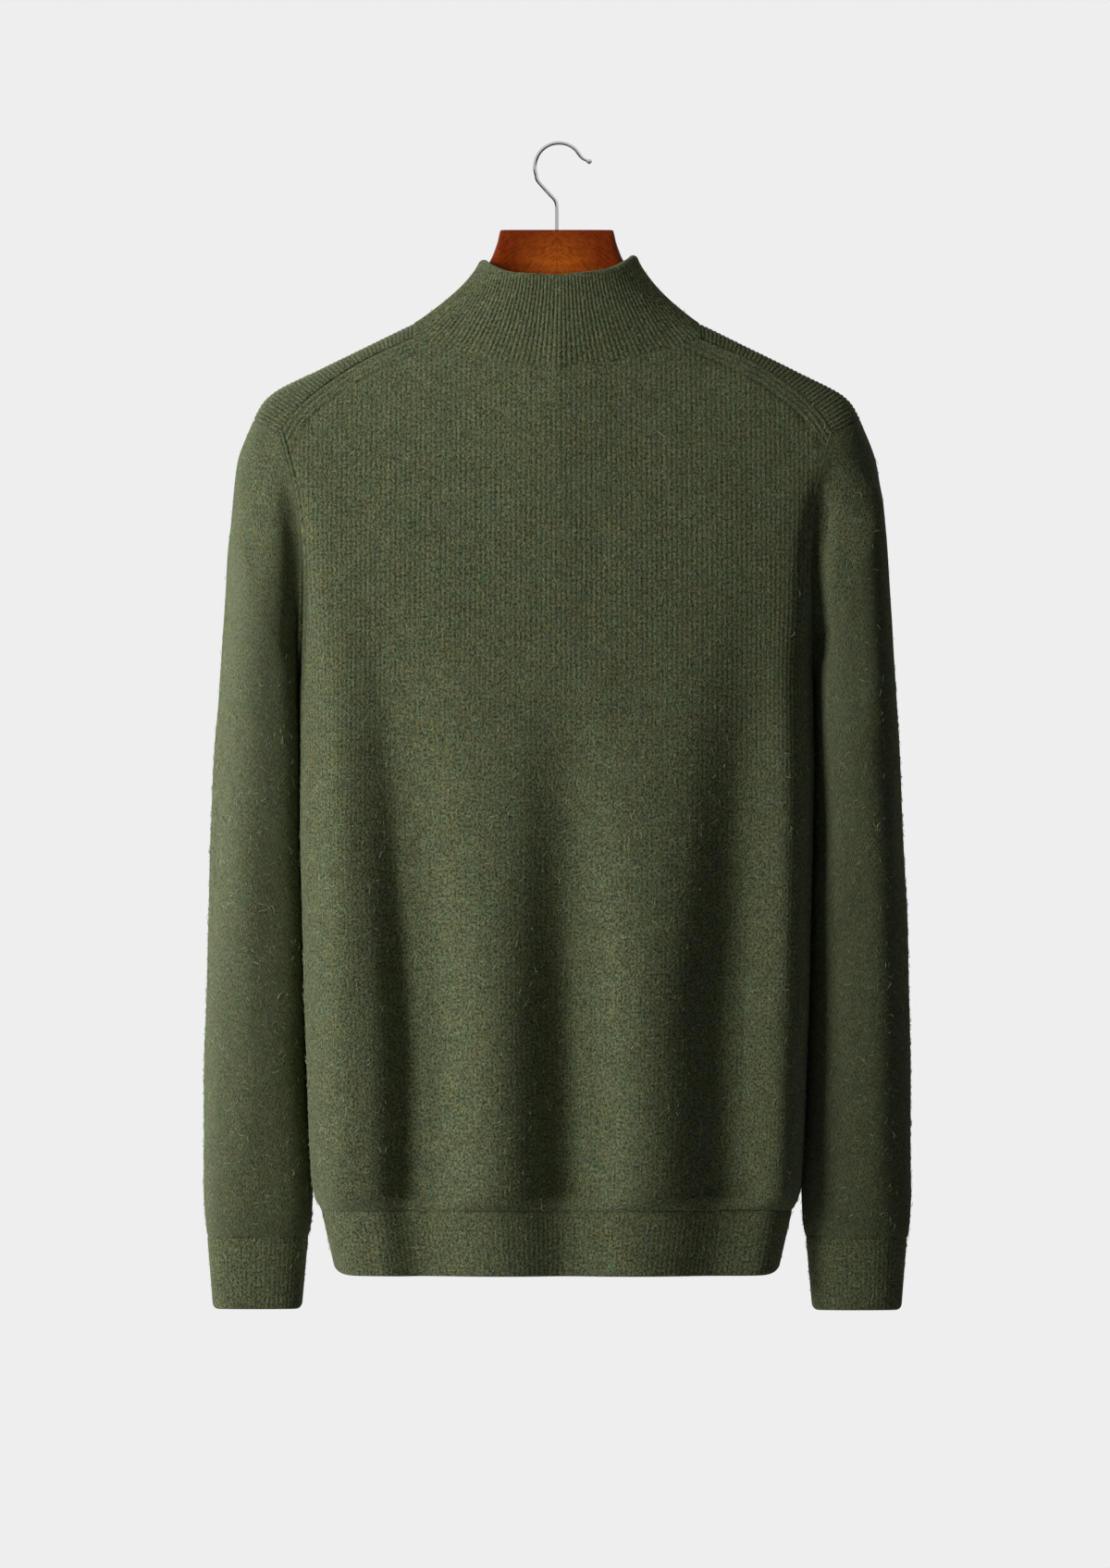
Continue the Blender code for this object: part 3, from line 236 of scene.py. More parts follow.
def buildHeatherGroup():
    # heathered yarn: mottled fibres along the wales, flecks, shade painted into the grooves and seam lines, and small
    # stitches
    group, given, result = newGroup("heatherYarn", (
        ("Wale", "NodeSocketFloat", 0.0),
        ("Course", "NodeSocketFloat", 0.0),
        ("Groove", "NodeSocketFloat", 0.0),
        ("Deep shade", "NodeSocketColor", None),
        ("Light shade", "NodeSocketColor", None),
        ("Fleck shade", "NodeSocketColor", None),
        ("Painted shade strength", "NodeSocketFloat", 0.6),
        ("Stitch height", "NodeSocketFloat", 0.5),
    ), (("Colour", "NodeSocketColor"), ("Height", "NodeSocketFloat")))
    wale, course, groove = given.outputs["Wale"], given.outputs["Course"], given.outputs["Groove"]
    place = newNode(group, "ShaderNodeCombineXYZ")
    group.links.new(maths(group, "MULTIPLY", wale, yarnForm["acrossWale"]), place.inputs["X"])
    group.links.new(course, place.inputs["Y"])
    fibres, specks, patches = (addNoise(group, place.outputs[0], values) for values in (
        {"Scale": 0.55, "Detail": 2.5, "Roughness": 0.65, "Distortion": 0.5},
        {"Scale": 1.35, "Detail": 2.0, "Roughness": 0.6},
        {"Scale": 0.07, "Detail": 3.0, "Roughness": 0.6}))
    fine = newNode(group, "ShaderNodeSeparateColor")
    wide = newNode(group, "ShaderNodeSeparateColor")
    group.links.new(fibres.outputs["Color"], fine.inputs[0])
    group.links.new(patches.outputs["Color"], wide.inputs[0])

    heather = mixColours(group, spread(group, fine.outputs["Red"], 0.4, 0.6),
                         given.outputs["Deep shade"], given.outputs["Light shade"])
    for noise, low, high, first, second in (
        (wide.outputs["Red"], 0.35, 0.65, (0.88, 0.88, 0.88, 1.0), (1.12, 1.12, 1.12, 1.0)),
        (wide.outputs["Green"], 0.4, 0.6, (1.05, 0.99, 0.96, 1.0), (0.95, 1.01, 1.04, 1.0)),
        (fine.outputs["Green"], 0.4, 0.6, (1.12, 1.0, 0.87, 1.0), (0.88, 1.0, 1.13, 1.0)),
    ):
        hue = mixColours(group, spread(group, noise, low, high), first, second)
        heather = mixColours(group, 1.0, heather, hue, "MULTIPLY")
    fleck = spread(group, specks.outputs["Fac"], 0.6, 0.72, 0.0, 0.75)
    heather = mixColours(group, fleck, heather, given.outputs["Fleck shade"])
    # painted shade: the groove mark darkens grooves and seam lines towards a near-black green, broken up by the fibres
    broken = spread(group, fine.outputs["Blue"], 0.38, 0.62, 0.25, 1.45)
    paintedShade = maths(group, "MULTIPLY", maths(group, "MULTIPLY", groove, broken), given.outputs["Painted shade strength"])
    heather = mixColours(group, paintedShade, heather, yarnForm["paintedGrooveShade"])
    group.links.new(heather, result.inputs["Colour"])
    # stitches lean to both sides of each wale's middle
    lean = maths(group, "ABSOLUTE", maths(group, "SUBTRACT", maths(group, "FRACT", wale), 0.5))
    row = maths(group, "ADD", maths(group, "DIVIDE", course, yarnForm["courseHeight"]),
                maths(group, "MULTIPLY", lean, yarnForm["loopLean"]))
    loop = maths(group, "PINGPONG", row, 0.5)
    stitch = maths(group, "MULTIPLY", loop, given.outputs["Stitch height"])
    rough = maths(group, "MULTIPLY", fibres.outputs["Fac"], yarnForm["roughness"])
    group.links.new(maths(group, "ADD", stitch, rough), result.inputs["Height"])
    return group


heatherGroup = buildHeatherGroup()

knitFinish = {
    "Roughness": 0.95,
    "Specular IOR Level": 0.02,
    "Sheen Weight": 0.36,
    "Sheen Roughness": 0.55,
    "Sheen Tint": (0.62, 0.7, 0.48, 1.0),
}
yarnShades = {
    "Deep shade": (0.046, 0.056, 0.0255, 1.0),
    "Light shade": (0.219, 0.247, 0.126, 1.0),
    "Fleck shade": (0.42, 0.45, 0.25, 1.0),
}


def knitMaterial(name, paintedShadeStrength, stitchHeight, bumpStrength):
    material, tree, shader = newMaterial(name, knitFinish)
    yarn = newNode(tree, "ShaderNodeGroup", node_tree=heatherGroup)
    given = {**yarnShades, "Painted shade strength": paintedShadeStrength, "Stitch height": stitchHeight}
    for label, value in given.items():
        yarn.inputs[label].default_value = value
    # the groove mark carries shade painted into grooves and seam lines
    for label in ("wale", "course", "groove"):
        mark = newNode(tree, "ShaderNodeAttribute", attribute_name=label)
        tree.links.new(mark.outputs["Fac"], yarn.inputs[label.capitalize()])
    addBump(tree, shader, yarn.outputs["Height"], bumpStrength, yarnForm["bumpDistance"])
    tree.links.new(yarn.outputs["Colour"], shader.inputs["Base Color"])
    return material


ribbedKnit = knitMaterial("ribbedKnit", paintedShadeStrength=0.38, stitchHeight=0.3, bumpStrength=0.7)
plainKnit = knitMaterial("plainKnit", paintedShadeStrength=0.5, stitchHeight=0.45, bumpStrength=1.1)
print("knit materials made")


bodySections = {
    "height": (-0.771, -0.764, -0.755, -0.74, -0.686, -0.6, -0.471, -0.385, -0.34, -0.29, -0.232, -0.2, -0.07),
    "halfWidth": (0.1705, 0.1742, 0.1768, 0.178, 0.1805, 0.1835, 0.1862, 0.1862, 0.194, 0.206, 0.219, 0.2205, 0.2205),
    "frontDepth": (0.077, 0.082, 0.0845, 0.0855, 0.0865, 0.088, 0.09, 0.09, 0.0895, 0.0885, 0.0875, 0.087, 0.087),
    "backDepth": (0.071, 0.076, 0.0785, 0.0795, 0.0805, 0.082, 0.083, 0.083, 0.083, 0.0825, 0.082, 0.082, 0.082),
}
bodyForm = {
    "underarm": -0.385,
    "hemSeam": -0.771,
    "sectionPower": 3.1,
    "ridgeRadius": 0.018,
    "ridgeBlend": 4,
    "edgePower": 12,    # folds fade out at the side seams
    "zipHalfGap": 0.0035,
    "slitEnd": -0.296,
    "wall": 0.0025,
    "tableTop": -0.075,    # the table of wales reaches this height and this length from the middle
    "tableLength": 0.27,
}
shoulderRidge = {
    "across": (0.0, 0.06, 0.104, 0.137, 0.174, 0.2037, 0.213, 0.2198, 0.226),
    "height": (-0.079, -0.1085, -0.13, -0.1457, -0.164, -0.1787, -0.187, -0.199, -0.212),
}
# seams of the wearer's left half, as (across, height)
seams = {
    "backNeck": ((0.0, -0.1615), (0.041, -0.1583), (0.064, -0.153), (0.083, -0.1478), (0.1045, -0.14)),
    "backShoulder": ((0.1045, -0.14), (0.142, -0.157), (0.1715, -0.1765), (0.19, -0.194), (0.2, -0.2095)),
    "frontNeck": ((0.0035, -0.19), (0.032, -0.1872), (0.062, -0.1755), (0.086, -0.156), (0.104, -0.13)),
    "ridgeEnd": (0.2198, -0.199),
    "backArmhole": ((0.1862, -0.385), (0.1843, -0.345), (0.1838, -0.3), (0.1876, -0.259), (0.195, -0.227),
                    (0.2, -0.2095)),
    "frontArmhole": ((0.1862, -0.385), (0.1832, -0.345), (0.1806, -0.3), (0.1838, -0.26), (0.193, -0.228),
                     (0.206, -0.2085), (0.2198, -0.199)),
}
# side, across at the top and low down, height where it starts and where it is full, half width towards
# the wearer's left and right, depth
hangingFolds = (
    (1, 0.126, 0.104, -0.29, -0.65, 0.0175, 0.034, -0.028),
    (1, -0.006, -0.008, -0.36, -0.68, 0.026, 0.028, -0.0295),
    (1, -0.146, -0.121, -0.29, -0.63, 0.026, 0.034, -0.0265),
    (1, 0.166, 0.164, -0.25, -0.5, 0.013, 0.021, 0.012),
    (1, 0.048, 0.05, -0.43, -0.7, 0.03, 0.03, 0.0045),
    (1, -0.06, -0.06, -0.4, -0.7, 0.03, 0.03, 0.0045),
    (1, -0.176, -0.174, -0.27, -0.42, 0.022, 0.01, 0.0105),
    (-1, 0.118, 0.128, -0.4, -0.72, 0.033, 0.033, -0.012),
    (-1, 0.026, 0.016, -0.47, -0.735, 0.031, 0.031, -0.0095),
    (-1, -0.084, -0.098, -0.44, -0.73, 0.035, 0.035, -0.013),
    (-1, 0.072, 0.074, -0.43, -0.735, 0.027, 0.027, 0.006),
    (-1, -0.03, -0.036, -0.45, -0.735, 0.028, 0.028, 0.0065),
    (-1, -0.144, -0.15, -0.45, -0.735, 0.021, 0.021, 0.004),
)
foldEnds = {"hold": -0.757, "leftAtHem": 0.5}
armholeValley = {"depth": 0.013, "start": -0.225, "full": -0.29, "fade": -0.35, "end": -0.385,
                 "beyondSeam": 0.003, "halfWidth": 0.0085}


def ridgeHeight(across):
    return smoothCurve(shoulderRidge["across"], shoulderRidge["height"], np.abs(across))


def bodySection(name, height):
    return smoothCurve(bodySections["height"], bodySections[name], height)


def foldPush(across, height, side):
    total = np.zeros(np.shape(across))
    for foldSide, acrossTop, acrossLow, top, full, leftWidth, rightWidth, depth in hangingFolds:
        if foldSide != side:
            continue
        share = np.clip((top - height) / (top - full), 0, 1)
        centre = acrossTop + (acrossLow - acrossTop) * share
        halfWidth = np.where(across > centre, leftWidth, rightWidth)
        total += depth * smoothStep(share) * bell(across - centre, halfWidth)
    gathered = ramp(height, foldEnds["hold"], bodyForm["hemSeam"])
    return total * (1 - (1 - foldEnds["leftAtHem"]) * gathered)


def bodyDepth(across, height, side):
    # distance from the plane of the side seams to the cloth of one side, 1 back or -1 front
    power = bodyForm["sectionPower"]
    halfWidth = bodySection("halfWidth", height)
    share = np.clip(1 - (np.abs(across) / halfWidth) ** power, 0, 1) ** (1 / power)
    oval = bodySection("backDepth" if side > 0 else "frontDepth", height) * share
    tent = np.sqrt(2 * bodyForm["ridgeRadius"] * np.clip(ridgeHeight(across) - height, 0, None))
    blend = bodyForm["ridgeBlend"]
    depth = oval * tent / np.maximum((oval**blend + tent**blend) ** (1 / blend), 1e-9)
    edge = np.clip(1 - (np.abs(across) / halfWidth) ** bodyForm["edgePower"], 0, 1)
    return depth + edge * foldPush(across, height, side)


def valleyDepth(across, height, side):
    # how deep the cloth sinks beside the armhole's seam
    form = armholeValley
    line = np.array(seams["backArmhole" if side > 0 else "frontArmhole"])
    away = np.abs(across) - np.interp(height, line[:, 1], line[:, 0]) - form["beyondSeam"]
    gate = ramp(height, form["start"], form["full"]) * ramp(height, form["end"], form["fade"])
    return form["depth"] * gate * bell(away, form["halfWidth"])


def liftToBody(flat, side, sunk=True):
    # (across, height) points onto one side of the body
    depth = bodyDepth(flat[..., 0], flat[..., 1], side)
    if sunk:
        depth = depth - valleyDepth(flat[..., 0], flat[..., 1], side)
    return np.stack([flat[..., 0], side * depth, flat[..., 1]], axis=-1)


def addPiece(name, data, material):
    data.materials.append(material)
    piece = bpy.data.objects.new(name, data)
    bpy.context.scene.collection.objects.link(piece)
    return piece


def meshPiece(name, points, faces, material, sharpAngle=None, marks=()):
    mesh = bpy.data.meshes.new(name)
    mesh.from_pydata(points, [], faces)
    for label, values in marks:
        mesh.attributes.new(label, "FLOAT", "POINT").data.foreach_set("value", values.astype(np.float32))
    if sharpAngle is not None:
        mesh.shade_smooth()
        mesh.set_sharp_from_angle(angle=math.radians(sharpAngle))
    return addPiece(name, mesh, material)


def clothMesh(name, outer, inner, step, kept, wrap, outward, marks, material):
    # a wall with a fine outside and an inside that has one cell for each step x step outer cells;
    # marks are values of the outside's points
    rows, columns = outer.shape[:2]
    fine = np.arange(rows * columns).reshape(rows, columns)
    coarse = rows * columns + np.arange(inner.shape[0] * inner.shape[1]).reshape(inner.shape[:2])
    if wrap:
        fine = np.hstack([fine, fine[:, :1]])
        coarse = np.hstack([coarse, coarse[:, :1]])
    fineKept = np.repeat(np.repeat(kept, step, axis=0), step, axis=1)
    faces = gridQuads(fine)[fineKept].tolist() + gridQuads(coarse)[kept][:, ::-1].tolist()
    cellRows, cellColumns = kept.shape

    def there(row, column):
        if wrap:
            column %= cellColumns
        return 0 <= row < cellRows and 0 <= column < cellColumns and kept[row, column]

    for row, column in zip(*np.nonzero(kept)):
        low, high = row * step, (row + 1) * step
        left, right = column * step, (column + 1) * step
        a, b = coarse[row, column : column + 2]
        c, d = coarse[row + 1, column : column + 2]
        for beside, chain, ends in (
            ((row - 1, column), fine[low, left : right + 1][::-1], [a, b]),
            ((row + 1, column), fine[high, left : right + 1], [d, c]),
            ((row, column + 1), fine[low : high + 1, right][::-1], [b, d]),
            ((row, column - 1), fine[low : high + 1, left], [c, a]),
        ):
            if not there(*beside):
                faces.append(chain.tolist() + ends)
    points = np.vstack([outer.reshape(-1, 3), inner.reshape(-1, 3)])
    used = np.zeros(len(points), bool)
    for face in faces:
        used[face] = True
    spot = np.cumsum(used) - 1
    if outward < 0:
        faces = [face[::-1] for face in faces]
    marks = [(label, np.concatenate([values.ravel(), values[::step, ::step].ravel()])[used])
             for label, values in marks.items()]
    return meshPiece(name, points[used].tolist(), [spot[face].tolist() for face in faces], material, 75, marks)


ribShape = {
    "columns": (0.0, 0.14, 0.36, 0.64, 0.86),  # places of one rib's columns, its groove at 0
    "grooveWidth": 0.17,
    "coarseStep": 5,
}


def grooveDepth(ribCount):
    # 1 in the groove between two ribs, 0 on the crest
    away = np.abs(ribCount - np.round(ribCount))
    return bell(away, ribShape["grooveWidth"])


def ribColumns(first, last):
    return np.array([rib + place for rib in range(first, last) for place in ribShape["columns"]] + [last])


def shellFrom(name, base, normals, push, wall, kept, wrap, outward, marks, material):
    step = ribShape["coarseStep"]
    outer = base + push[..., None] * normals
    inner = (base - wall * normals)[::step, ::step]
    if kept is None:
        cells = base.shape[1] // step if wrap else (base.shape[1] - 1) // step
        kept = np.ones(((base.shape[0] - 1) // step, cells), bool)
    piece = clothMesh(name, outer, inner, step, kept, wrap, outward, marks, material)
    clothGrids[name] = (outer, normals)
    return piece


clothGrids = {}

bodyKnit = {
    "halfRibs": 64,
    "neckRibs": 29,
    "freeRibs": 50,     # past these, the wales run out at the armhole
    "stripRibs": 40,
    "grooveDepthHigh": 0.0003,
    "grooveDepthLow": 0.00011,
    "fadeFrom": -0.3,
    "fadeTo": -0.46,
    "fadeLowerAtSides": 0.07,
    "lowSteps": (0, 0.0006, 0.0012, 0.002, 0.003, 0.0045, 0.0065, 0.009, 0.012, 0.0155, 0.02),
    "lowRows": 70,
    "seamDip": 0.0007,
    "seamDipWidth": 0.0012,
    "seamLineWidth": 0.0009,
    "backRowsFrom": (0.915, 38, 18),    # a share of the yoke's height, and rows below and above it
    "frontRows": 35,
    "evenFrom": 0.72,                   # share where the front's ribs begin to even out
    "thinFrom": 20,                     # row from which surplus rows are left out
    "shoulderGroove": 0.0006,
    "unevenness": 0.0006,
    "unevennessSize": 0.028,
}
# the shade values here set painted shade in grooves, the band's end line and the armhole's seam line
shoulderBand = {"width": 0.0118, "pitch": 0.00393, "overhang": 0.03, "softEdge": 0.0006, "grooveDepth": 0.0007,
                "paintedGrooveShade": 1.3, "endGroove": 0.0012, "endWidth": 0.001, "paintedEndShade": 1.1}
armholeRib = {"width": 0.003, "rise": 0.0004, "riseWidth": 0.0009, "grooveDepth": 0.0006, "grooveWidth": 0.0008,
              "start": -0.372, "full": -0.352, "lineStart": -0.27, "lineFull": -0.24, "paintedEdgingShade": 0.5,
              "paintedLineShade": 0.8, "rightShare": 0.25}


def ovalArc(height):
    # one height's level section without the shoulder: across, and length from the middle
    turn = np.linspace(0, math.pi / 2, 1001)
    power = 2 / bodyForm["sectionPower"]
    x = bodySection("halfWidth", height) * np.sin(turn) ** power
    y = bodySection("backDepth", height) * np.cos(turn) ** power
    return x, lengthsAlong(np.stack([x, y], axis=1))


def buildWaleTable():
    # shares of the half width that wales reach, by height and by length from the middle
    heights = np.linspace(bodyForm["underarm"], bodyForm["tableTop"], 48)
    lengths = np.linspace(0, bodyForm["tableLength"], 541)
    shares = []
    for height in heights:
        x, along = ovalArc(height)
        shares.append(np.interp(lengths, along, x) / x[-1])
    return heights, lengths, np.array(shares)


waleTable = buildWaleTable()
ribPitch = ovalArc(bodyForm["underarm"])[1][-1] / bodyKnit["halfRibs"]


def shareAtArc(length, height):
    heights, lengths, shares = waleTable
    row = np.clip((height - heights[0]) / (heights[1] - heights[0]), 0, len(heights) - 1.001)
    column = np.clip(length / (lengths[1] - lengths[0]), 0, len(lengths) - 1.001)
    i, j = row.astype(int), column.astype(int)
    s, t = row - i, column - j
    low = shares[i, j] * (1 - t) + shares[i, j + 1] * t
    high = shares[i + 1, j] * (1 - t) + shares[i + 1, j + 1] * t
    return low * (1 - s) + high * s


def arcAtShare(share, height):
    low, high = np.zeros_like(share), np.full_like(share, bodyForm["tableLength"])
    for _ in range(22):
        middle = (low + high) / 2
        under = shareAtArc(middle, height) < share
        low, high = np.where(under, middle, low), np.where(under, high, middle)
    return (low + high) / 2


def waleShare(places):
    # places 0..1 of wales, even along the underarm's level section, as shares of its half width
    underarm = np.full(np.shape(places), bodyForm["underarm"])
    return shareAtArc(np.asarray(places, float) * ribPitch * bodyKnit["halfRibs"], underarm)


def lowerRows(ribs, gap):
    # level rows from the hem seam to the underarm, for one half's ribs
    start = bodyForm["hemSeam"]
    heights = start + np.array(bodyKnit["lowSteps"])
    rest = np.linspace(heights[-1], bodyForm["underarm"], bodyKnit["lowRows"] + 1)[1:]
    shares = waleShare(ribs / bodyKnit["halfRibs"])
    rows = []
    for height in np.concatenate([heights, rest]):
        halfWidth = bodySection("halfWidth", height)
        rows.append(np.stack([gap + (halfWidth - gap) * shares, np.full(len(ribs), height)], axis=1))
    return rows


class HalfYoke:
    # wales of one half between the underarm's level and the neck, shoulder and armhole
    def __init__(self, neck, shoulder, armhole, ribs, gap):
        self.ribs, self.gap = ribs, gap
        self.neck, self.shoulder = denseCurve(neck), shoulder
        self.armhole = denseCurve(armhole)
        corner = self.shoulder[0]
        share = np.array([(corner[0] - gap) / (float(bodySection("halfWidth", corner[1])) - gap)])
        cornerArc = arcAtShare(share, np.array([corner[1]]))[0]
        self.spread = cornerArc / (bodyKnit["neckRibs"] * ribPitch) - 1
        low, high = np.full(len(ribs), bodyForm["underarm"]), np.full(len(ribs), bodyForm["tableTop"])
        for _ in range(30):
            middle = (low + high) / 2
            under = self.topHeight(self.across(middle, 1.0)[0]) > middle
            low, high = np.where(under, middle, low), np.where(under, high, middle)
        self.top = (low + high) / 2

    def topHeight(self, across):
        onNeck = np.interp(across, self.neck[:, 0], self.neck[:, 1])
        onShoulder = np.interp(across, self.shoulder[:, 0], self.shoulder[:, 1])
        return np.where(across < self.shoulder[0, 0], onNeck, onShoulder)

    def across(self, height, share):
        # across, and the count of ribs from the middle
        free, gap = bodyKnit["freeRibs"], self.gap
        pitch = ribPitch * (1 + self.spread * share)
        halfWidth = bodySection("halfWidth", height)
        edge = np.interp(height, self.armhole[:, 1], self.armhole[:, 0])
        edgeArc = arcAtShare(np.clip((edge - gap) / (halfWidth - gap), 0, 1), height)
        beyond = np.clip((self.ribs - free) / (bodyKnit["halfRibs"] - free), 0, 1)
        freeArc = np.minimum(self.ribs, free) * pitch
        arc = freeArc + (edgeArc - free * pitch) * beyond
        across = gap + (halfWidth - gap) * shareAtArc(arc, height)
        return np.where(beyond > 0.9999, edge, across), arc / pitch

    def rows(self, shares):
        points, counts = [], []
        for share in shares:
            height = bodyForm["underarm"] + share * (self.top - bodyForm["underarm"])
            across, count = self.across(height, share)
            points.append(np.stack([across, height], axis=1))
            counts.append(count)
        return points, counts


def bothHalves(rows, middle):
    # rows of the left half, mirrored to the right half, with the middle's own columns between
    out = []
    for row in rows:
        other = row[::-1] * (-1, 1)
        if middle is None:
            out.append(np.vstack([other[:-1], row]))
        else:
            between = other[-1] + (row[0] - other[-1]) * middle[:, None]
            out.append(np.vstack([other, between, row]))
    return np.array(out)


def bothCounts(rows, middle):
    out = []
    for row in rows:
        if middle is None:
            out.append(np.concatenate([-row[::-1][:-1], row]))
        else:
            out.append(np.concatenate([-row[::-1] - 1, -1 + middle * 2, row + 1]))
    return np.array(out)


def armholeEdging(away):
    # a fine rib that follows the armhole, with a groove on its body side
    form = armholeRib
    groove = bell(away - form["width"], form["grooveWidth"])
    rise = form["rise"] * bell(away - form["width"] * 0.5, form["riseWidth"])
    return rise - form["grooveDepth"] * groove, groove


def ribFade(base):
    high, low = bodyKnit["grooveDepthHigh"], bodyKnit["grooveDepthLow"]
    height = base[..., 2] + bodyKnit["fadeLowerAtSides"] * smoothStep((np.abs(base[..., 0]) - 0.11) / 0.05)
    return high + (low - high) * ramp(height, bodyKnit["fadeFrom"], bodyKnit["fadeTo"])


def seamDip(distance):
    return -bodyKnit["seamDip"] * bell(distance, bodyKnit["seamDipWidth"])


def distanceToLine(flat, line):
    # distance of (across, height) points from a polyline
    best = np.full(flat.shape[:-1], 1.0)
    for a, d in zip(line[:-1], np.diff(line, axis=0)):
        t = np.clip(((flat - a) @ d) / (d @ d), 0, 1)
        best = np.minimum(best, np.linalg.norm(flat - a - t[..., None] * d, axis=-1))
    return best


def clothMarks(base, wale, groove):
    # for the knit's material: counts of wales, millimetres of courses, and the strength of shade painted into grooves
    # and seam lines
    wale = np.broadcast_to(wale, base.shape[:2])
    return {"wale": wale, "course": lengthsOfColumns(base) * 1000, "groove": groove}


def seamWeight(across):
    # the armhole's seam hardly shows on the wearer's right
    return np.where(across > 0, 1, armholeRib["rightShare"])


def unevenness(flat, start, seed):
    size = bodyKnit["unevennessSize"]
    noise = softNoise(flat[..., 0] / size + start[0], flat[..., 1] / (2 * size) + start[1], seed)
    return bodyKnit["unevenness"] * noise


def mirroredFlat(flat):
    return np.stack([np.abs(flat[..., 0]), flat[..., 1]], axis=-1)


def buildBack():
    knit, rib, band = bodyKnit, armholeRib, shoulderBand
    halfRibs = knit["halfRibs"]
    ribs = ribColumns(0, halfRibs)
    ribs = np.unique(np.concatenate([ribs, halfRibs - ribs]).round(6))
    half = lowerRows(ribs, 0.0)
    counts = [ribs] * len(half)
    shoulder = denseCurve(seams["backShoulder"])
    yoke = HalfYoke(seams["backNeck"], shoulder, seams["backArmhole"], ribs, 0.0)
    dense, rowsBelow, rowsAbove = knit["backRowsFrom"]
    shares = np.concatenate([np.linspace(0, dense, rowsBelow)[1:], np.linspace(dense, 1, rowsAbove)[1:]])
    yokePoints, yokeCounts = yoke.rows(shares)
    flat = bothHalves(half + yokePoints, None)
    counts = bothCounts(counts + yokeCounts, None)
    places = np.concatenate([-ribs[::-1][:-1], ribs])
    columns = ribColumns(-halfRibs, halfRibs).round(6)
    chosen = np.searchsorted(places, columns)
    flat, counts = flat[:, chosen], counts[:, chosen]
    surplus = (len(flat) - 1) % ribShape["coarseStep"]
    thinned = knit["thinFrom"] + 2 * np.arange(surplus)
    flat, counts = np.delete(flat, thinned, axis=0), np.delete(counts, thinned, axis=0)
    base = liftToBody(flat, 1)
    normals = -gridNormals(base, False)
    fromHem = lengthsOfColumns(base)
    toTop = fromHem[-1] - fromHem
    folded = mirroredFlat(flat)
    toArmhole = np.minimum(distanceToLine(folded, denseCurve(seams["backArmhole"], 8)), lengthsToSide(base))
    beside = ramp(flat[..., 1], rib["start"], rib["full"])
    groove = grooveDepth(counts)
    fade = ribFade(base)
    push = -groove * fade
    before = shoulder[0] - unit(shoulder[1] - shoulder[0]) * band["overhang"]
    away = distanceToLine(folded, np.vstack([before, shoulder]))
    width, soft = band["width"], band["softEdge"]
    inBand = smoothStep((width + soft - away) / (2 * soft))
    bandGroove = grooveDepth(away / band["pitch"]) * (away < width - 0.001)
    push = push * (1 - inBand) - inBand * bandGroove * band["grooveDepth"]
    endLine = bell(away - width, band["endWidth"])
    push -= endLine * band["endGroove"]
    seamShare = seamWeight(flat[..., 0])
    edging, edgingGroove = (values * seamShare for values in armholeEdging(toArmhole))
    nearEdge = smoothStep((rib["width"] - toArmhole) / 0.0008) * beside
    push = push * (1 - nearEdge) + edging * beside
    push += 0.5 * seamDip(toTop) + seamDip(toArmhole) * seamShare + seamDip(fromHem) * 0.5
    push += unevenness(flat, (31, 40), 3)
    # painted shade: darker rib grooves, grooves of the shoulder band and its end line, the armhole rib's groove and
    # the armhole's seam line
    paintedShade = groove * fade / knit["grooveDepthHigh"] * (1 - inBand) * (1 - nearEdge)
    paintedShade = paintedShade + inBand * bandGroove * band["paintedGrooveShade"] + endLine * band["paintedEndShade"]
    paintedShade = paintedShade + edgingGroove * beside * rib["paintedEdgingShade"]
    lineShare = ramp(flat[..., 1], rib["lineStart"], rib["lineFull"])
    paintedShade += seamShare * rib["paintedLineShade"] * bell(toArmhole, rib["grooveWidth"]) * lineShare
    marks = clothMarks(base, counts, np.clip(paintedShade, 0, 2))
    return shellFrom("back_panel", base, normals, push, bodyForm["wall"], None, False, -1, marks, ribbedKnit)


def lengthsToSide(base):
    along = lengthsOfRows(base)
    return np.minimum(along, along[:, -1:] - along)


